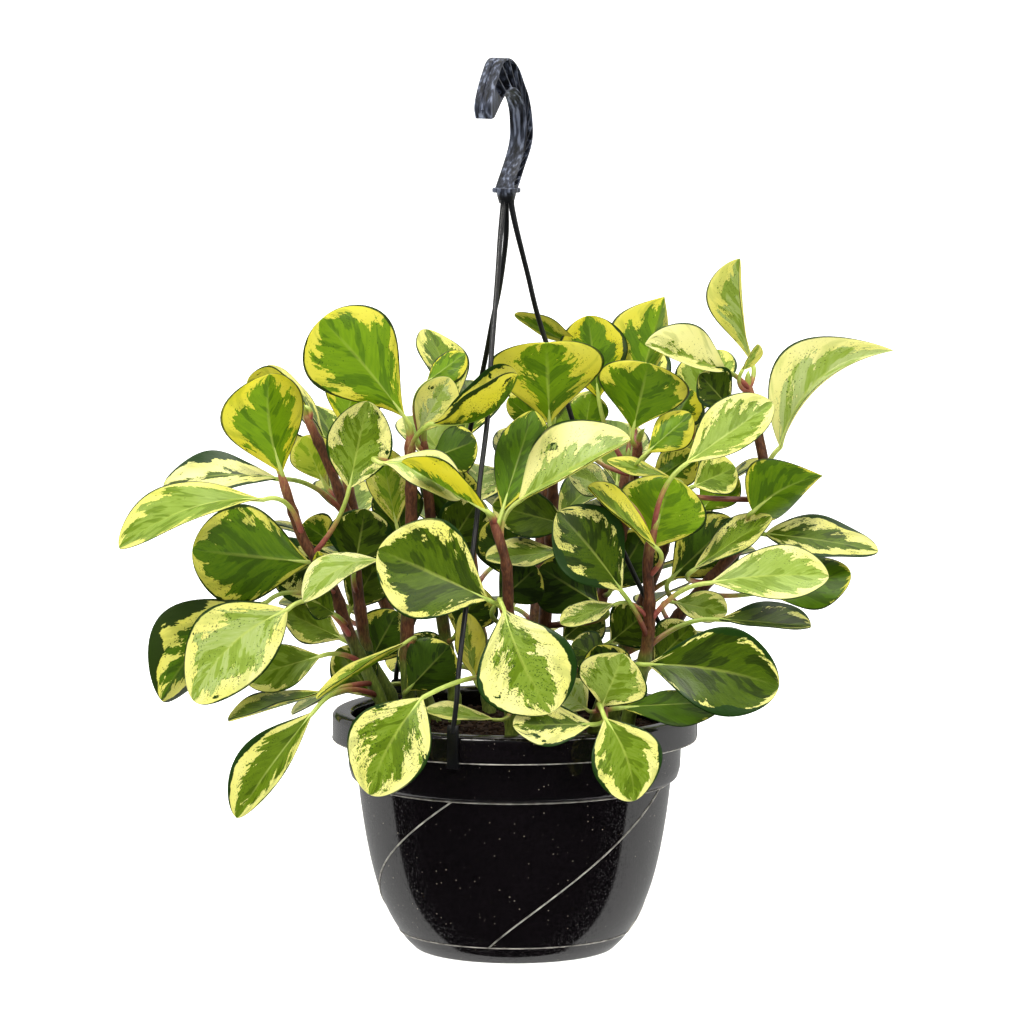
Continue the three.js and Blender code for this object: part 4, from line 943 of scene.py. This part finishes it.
def make_soil(material):
    """The top of the soil with crumbs on it. It closes underneath, and the stems stand in it."""
    draw = random.Random(5)
    bumps = [(draw.uniform(-95, 95), draw.uniform(-95, 95), draw.uniform(5, 16), draw.uniform(-1.4, 1.6))
             for _ in range(MOUNDS)]

    def mound(x, y):
        rises = (h * math.exp(-((x - bx) ** 2 + (y - by) ** 2) / (2 * w * w)) for bx, by, w, h in bumps)
        return 0.5 * sum(rises)

    def fade(radius):
        """1 over most of the soil, and less towards the pot's wall."""
        return min((101 - radius) / 8, 1)

    profile = denser([(0.0, SOIL_TOP), (SOIL_FLAT, SOIL_TOP), (100.4, SOIL_EDGE), (100, 117), (95, 107),
                      (88.9, 64), (80.7, 34), (71.4, 15.3), (58.9, 3.4), (0, 3.4)], 3.2)
    verts, faces = [], ring_faces(len(profile), SOIL_SIDES)
    for x, y, z in turned(profile, SOIL_SIDES):
        if z > SOIL_EDGE - 1:
            z += (mound(x, y) + draw.uniform(-0.35, 0.35)) * fade(math.hypot(x, y))
        verts.append((x, y, z))
    for _ in range(CRUMBS):
        radius, angle = 99 * math.sqrt(draw.random()), draw.uniform(0, 2 * math.pi)
        size = draw.uniform(0.8, 2.6)
        x, y = math.cos(angle) * radius, math.sin(angle) * radius
        z = SOIL_TOP + mound(x, y) * fade(radius) - max(radius - SOIL_FLAT, 0) * SOIL_SLOPE + size * 0.25
        lump, shape = crumb_shape(draw, size)
        join(verts, faces, ([np.array([x, y, z]) + p for p in lump], shape))
    soil = add_piece("potting_soil_fill", verts, faces, material)
    face_outwards(soil)
    return soil


def crumb_shape(draw, size):
    """An uneven lump with eight corners and six faces."""
    tilt = draw.uniform(0, math.pi)
    points = []
    for corner in range(8):
        sx, sy, sz = [1 if corner & bit else -1 for bit in (4, 2, 1)]
        x, y, z = sx * draw.uniform(0.4, 0.8), sy * draw.uniform(0.4, 0.8), sz * draw.uniform(0.25, 0.6)
        points.append(np.array([x * math.cos(tilt) - y * math.sin(tilt),
                                x * math.sin(tilt) + y * math.cos(tilt), z]) * size)
    faces = [(0, 1, 3, 2), (4, 6, 7, 5), (0, 4, 5, 1), (2, 3, 7, 6), (0, 2, 6, 4), (1, 5, 7, 3)]
    return points, faces


# Hook: pairs of points on its inner and outer edge in its own plane, as in the CAD part
HOOK_PAIRS = [
    (17.3, 480.8, 9.5, 480.8), (14.5, 485, 6.8, 485), (8.6, 494, 1.6, 494), (5, 500, -2.4, 500),
    (1.7, 506.5, -6.3, 507), (0, 513, -8, 514), (0, 520, -7.6, 521), (0.6, 527, -6.2, 528.5),
    (3, 534, -3, 538), (7, 539.5, 2.6, 547), (11.5, 542.5, 8.5, 556), (16, 543.2, 17, 562),
    (20.5, 541.8, 26, 561.5), (24.5, 538.8, 32.5, 553), (28, 535.5, 37.8, 543), (32, 531, 41, 533),
    (36, 526.5, 39.5, 525.5)]
HOOK_WIDTH, HOOK_WEB, HOOK_FLANGE, HOOK_EDGE = 12.4, 2.4, 1.5, 0.35
HOOK_X, HOOK_Y, HOOK_TURN = 2.2, 14.0, math.radians(-90 - 33)
# Stations along the hook: two in eight are a rib, the first and last are solid, and the tip has a groove
HOOK_STATIONS, RIB_EVERY, SOLID_FOOT, SOLID_TIP, GROOVED, GROOVE = 130, 8, 4, 112, range(85, 124), 0.9
# Collar plate under the hook, with the height and size of its sections, and the root of the strands
COLLAR_MIDDLE, COLLAR_HALF, COLLAR_ROUND = 13.4, (4.3, 6.3), 1.2
COLLAR_SECTIONS = ((478.1, 0.93), (478.5, 1.0), (480.7, 1.0), (481.1, 0.93))
ROOT_HEIGHTS, ROOT_RADII = (478.4, 476, 473.5, 471.6), (6.2, 5.8, 5.1, 4.6)


def place_hook(p, across, z):
    """A point of the hook's own plane at p and z, moved across the plane."""
    return (HOOK_X + p * math.cos(HOOK_TURN) + across * math.sin(HOOK_TURN),
            HOOK_Y + p * math.sin(HOOK_TURN) - across * math.cos(HOOK_TURN), z)


def hook_section(depth, solid, groove):
    """The I section from the inner to the outer edge, nearly full where it is solid."""
    half, near, far = HOOK_WIDTH / 2, HOOK_FLANGE, depth - HOOK_FLANGE
    inside = half - 0.02 if solid else HOOK_WEB / 2
    side = [(0, half - HOOK_EDGE), (HOOK_EDGE, half), (near, half), (near + 0.01, inside),
            (far - 0.01, inside), (far, half), (depth - HOOK_EDGE, half), (depth, half - HOOK_EDGE),
            (depth, 1.3), (depth - groove, 1.0)]
    return [(0, 0)] + [(d, -across) for d, across in side] + side[::-1]


def make_hook(material):
    """The hook with its ribs, the collar plate under it and the tapered root of the strands."""
    inner = smooth_route([(a, 0, b) for a, b, _, _ in HOOK_PAIRS], HOOK_STATIONS)[:, [0, 2]]
    outer = smooth_route([(c, 0, d) for _, _, c, d in HOOK_PAIRS], HOOK_STATIONS)[:, [0, 2]]
    verts = []
    for i, (near, far) in enumerate(zip(inner, outer)):
        depth = np.linalg.norm(far - near)
        solid = i % RIB_EVERY in (0, RIB_EVERY - 1) or i < SOLID_FOOT or i > SOLID_TIP
        section = hook_section(depth, solid, GROOVE if i in GROOVED else 0.0)
        for d, across in section:
            p, z = near + (far - near) * (d / depth)
            verts.append(place_hook(p, across, z))
    faces = closed_faces(HOOK_STATIONS, len(section))
    half_x, half_y = COLLAR_HALF
    corners = [(sx * half_x + COLLAR_ROUND * math.cos(a), sy * half_y + COLLAR_ROUND * math.sin(a))
               for sx, sy, start in ((1, 1, 0), (-1, 1, 90), (-1, -1, 180), (1, -1, 270))
               for a in np.radians(start + 30 * np.arange(4))]
    collar = [place_hook(COLLAR_MIDDLE + p * scale, a * scale, z)
              for z, scale in COLLAR_SECTIONS for p, a in corners]
    join(verts, faces, (collar, closed_faces(len(COLLAR_SECTIONS), len(corners))))
    root = [np.array(place_hook(COLLAR_MIDDLE, 0, z)) for z in ROOT_HEIGHTS]
    join(verts, faces, tube(root, ROOT_RADII, 24))
    hook = add_piece("hanger_hook_moulded", verts, faces, material)
    face_outwards(hook, sharp=30)
    return hook


# Strands: direction of the clip on the rim in degrees, and route as for the stems
STRANDS = {
    "strand_front": (-109, [
        (-7, 470.6, -0.5), (-9, 450, -8), (-11, 421, -22), (-15, 370, -43), (-17, 336, -53), (-22, 295, -65),
        (-24, 270, -73), (-34, 188, -99), (-36.5, 158, -108)]),
    "strand_right": (11, [
        (-2, 470.6, 1), (1, 456, 1.8), (8, 428, 5), (16, 396, 8), (33, 346, 11), (48, 300, 14), (75, 238, 17),
        (101, 188, 20.5), (112, 167, 22)]),
    "strand_back_left": (131, [
        (-5.4, 470.4, 4.8), (-5.4, 450, 8), (-9, 421, 14), (-14, 397, 20), (-20, 366, 31), (-33, 308, 52),
        (-52, 240, 71), (-69, 194, 84), (-74, 178, 87)]),
}
STRAND_STATIONS, STRAND_TOP, STRAND_RADIUS, STRAND_END = 110, 1.9, 1.6, 153.0
CLIP_HALF, CLIP_THICK, CLIP_BEVEL, CLIP_TOP, CLIP_LIP = 3.5, 2.4, 0.3, 158, 2.7


def make_strand(name, azimuth, route, material):
    """A slim rod from inside the hook's collar down to a J clip under the skirt."""
    angle = math.radians(azimuth)
    outward = np.array([math.cos(angle), math.sin(angle), 0])
    sideways = np.array([-math.sin(angle), math.cos(angle), 0])
    face, foot, grip = RIM_RADIUS + 0.3, SKIRT_BOTTOM - 0.3, RIM_RADIUS - WALL - 1
    end = outward * (face + CLIP_THICK / 2 + 0.4) + np.array([0, 0, STRAND_END])
    root = seen(route[0]) + np.array([0, 0, 3.0])
    points = smooth_route([root] + [seen(p) for p in route] + [end], STRAND_STATIONS)
    radii = np.interp(range(STRAND_STATIONS), (0, 12), (STRAND_TOP, STRAND_RADIUS))
    verts, faces = tube(list(points), radii, 14)
    back = face + CLIP_THICK
    outline = [(face, CLIP_TOP), (face, foot), (grip, foot), (grip, foot + 5), (grip - CLIP_THICK, foot + 4),
               (grip - CLIP_THICK, foot - CLIP_LIP), (back, foot - CLIP_LIP), (back, CLIP_TOP - 3),
               (back - 0.8, CLIP_TOP)]
    outline = rounded(outline + [outline[0]], 0.7, 2)[:-1]
    middle = np.mean(outline, axis=0)
    flat = CLIP_HALF - CLIP_BEVEL
    levels = ((-CLIP_HALF, CLIP_BEVEL), (-flat, 0.0), (flat, 0.0), (CLIP_HALF, CLIP_BEVEL))
    clip = []
    for across, inset in levels:
        for r, z in outline:
            pull = unit(middle - (r, z)) * inset
            clip.append(outward * (r + pull[0]) + sideways * across + np.array([0, 0, z + pull[1]]))
    join(verts, faces, (clip, closed_faces(len(levels), len(outline))))
    strand = add_piece(name + "_moulded", verts, faces, material)
    face_outwards(strand, sharp=40)
    return strand


# Build and hand over
stems, leaves = gather()
skins = leaf_material(), stalk_material(), stem_material()
for number, (name, stem) in enumerate(stems.items(), 1):
    mesh = LeafyMesh()
    add_stem(mesh, stem, number)
    for leaf in leaves:
        if leaf.stem == name:
            add_blade(mesh, leaf)
            add_stalk(mesh, leaf)
    piece = mesh.make("leafy_stem_" + name, skins)
    face_outwards(piece)
    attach(piece, "root")
    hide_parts("stem_" + name)

pot = make_pot(pot_material(), worn_and_highlight_material())
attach(pot, "root")
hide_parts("pot")

soil = make_soil(soil_material())
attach(soil, "root")
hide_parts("soil")

plastic = hanger_material()
hook = make_hook(plastic)
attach(hook, "root")
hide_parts("hanger_hook")
for name, (azimuth, route) in STRANDS.items():
    strand = make_strand(name, azimuth, route, plastic)
    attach(strand, "root")
    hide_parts(name)


# Floor, light and camera
FLOOR, FLOOR_EDGE, WALL_RADIUS, WALL_TOP, WALL_FOLD = -160, 2400, 8000, 9000, 1400
WHITE = (1.0, 1.0, 1.0, 1.0)


def add_sheet(name, profile, material):
    """A sheet turned about the upright axis, which the gloss of the pot doesn't mirror."""
    sides = 96
    faces = ring_faces(len(profile), sides)
    if profile[0][0] < 100:
        faces.append(tuple(range(sides)))
    sheet = add_piece(name, turned(profile, sides), faces, material)
    sheet.visible_glossy = False
    return sheet


def make_surroundings():
    """A pale round floor that glows towards its edge, and a white wall all round."""
    pale = Surface("pale_floor", Roughness=0.9, Emission_Color=WHITE)
    place = pale.object_place()
    length = pale.new("VectorMath")
    length.operation = "LENGTH"
    pale.put(length.inputs[0], place)
    pale.finish(Base_Color=pale.ramp(pale.noise(place, 3.0), (0.0, "F4F4F4"), (1.0, "FAFAFA")),
                Emission_Strength=pale.step(length.outputs["Value"], 1.4, 0.9) * 0.8)
    add_sheet("floor", [(10, FLOOR), (800, FLOOR), (1600, FLOOR), (FLOOR_EDGE, FLOOR)], pale.material)
    white = Surface("white_wall", Emission_Color=WHITE, Emission_Strength=0.95)
    white.finish(Roughness=white.noise(white.object_place(), 2.0, 1.0) * 0.1 + 0.85)
    curve = [(WALL_RADIUS - WALL_FOLD * (1 - math.sin(a)), FLOOR + WALL_FOLD * (1 - math.cos(a)))
             for a in np.linspace(0, math.pi / 2, 12)]
    wall = add_sheet("wall", [(FLOOR_EDGE, FLOOR)] + curve + [(WALL_RADIUS, WALL_TOP)], white.material)
    wall.visible_diffuse = False


def make_world():
    """Pale above and behind. In front and below it is dark, as the room that the pot's gloss mirrors."""
    world = bpy.data.worlds.new("studio")
    world.use_nodes = True
    sky = Graph(world.node_tree)
    x, y, z = sky.split(sky.new("TexCoord").outputs["Generated"])
    above = sky.climb(z, 0.02, 0.12)
    behind = sky.climb(x * 0.085 + y, 0.145, 0.165, top=y * -3.6 + 4.8)
    strength = sky.math("MAXIMUM", above, behind) * 0.36 + 0.015
    sky.fill(sky.nodes["Background"], Color=(1.0, 1.0, 0.98, 1.0), Strength=strength)
    bpy.context.scene.world = world


def aim(thing, target):
    direction = Vector(target) - thing.location
    thing.rotation_euler = direction.to_track_quat("-Z", "Y").to_euler()


def add_light(name, place, target, size, power):
    data = bpy.data.lights.new(name, "AREA")
    data.shape = "RECTANGLE"
    data.size, data.size_y = size
    data.energy = power
    data.color = (1.0, 0.975, 0.91)
    light = bpy.data.objects.new(name, data)
    bpy.context.scene.collection.objects.link(light)
    light.location = place
    aim(light, target)


def add_camera():
    """The photo's view, from the eye point towards the middle of the part."""
    camera = bpy.data.objects.new("camera", bpy.data.cameras.new("camera"))
    bpy.context.scene.collection.objects.link(camera)
    camera.location = [v * MM for v in EYE]
    aim(camera, (EYE[0] * MM, 0.0, 0.277))
    camera.data.lens = 225
    camera.data.sensor_width = 36
    camera.data.clip_end = 100
    bpy.context.scene.camera = camera


make_surroundings()
make_world()
add_light("key", (-1.2, -1.5, 2.3), (0, 0, 0.3), (1.2, 1.2), 62)
add_light("fill", (1.6, -1.8, 1.5), (0, 0, 0.25), (1.2, 1.2), 26)
add_light("top", (0.2, 0.3, 2.4), (0, 0, 0.3), (1.6, 1.2), 30)
view = bpy.context.scene.view_settings
view.view_transform, view.exposure, view.gamma = "Standard", 0.12, 0.9
add_camera()
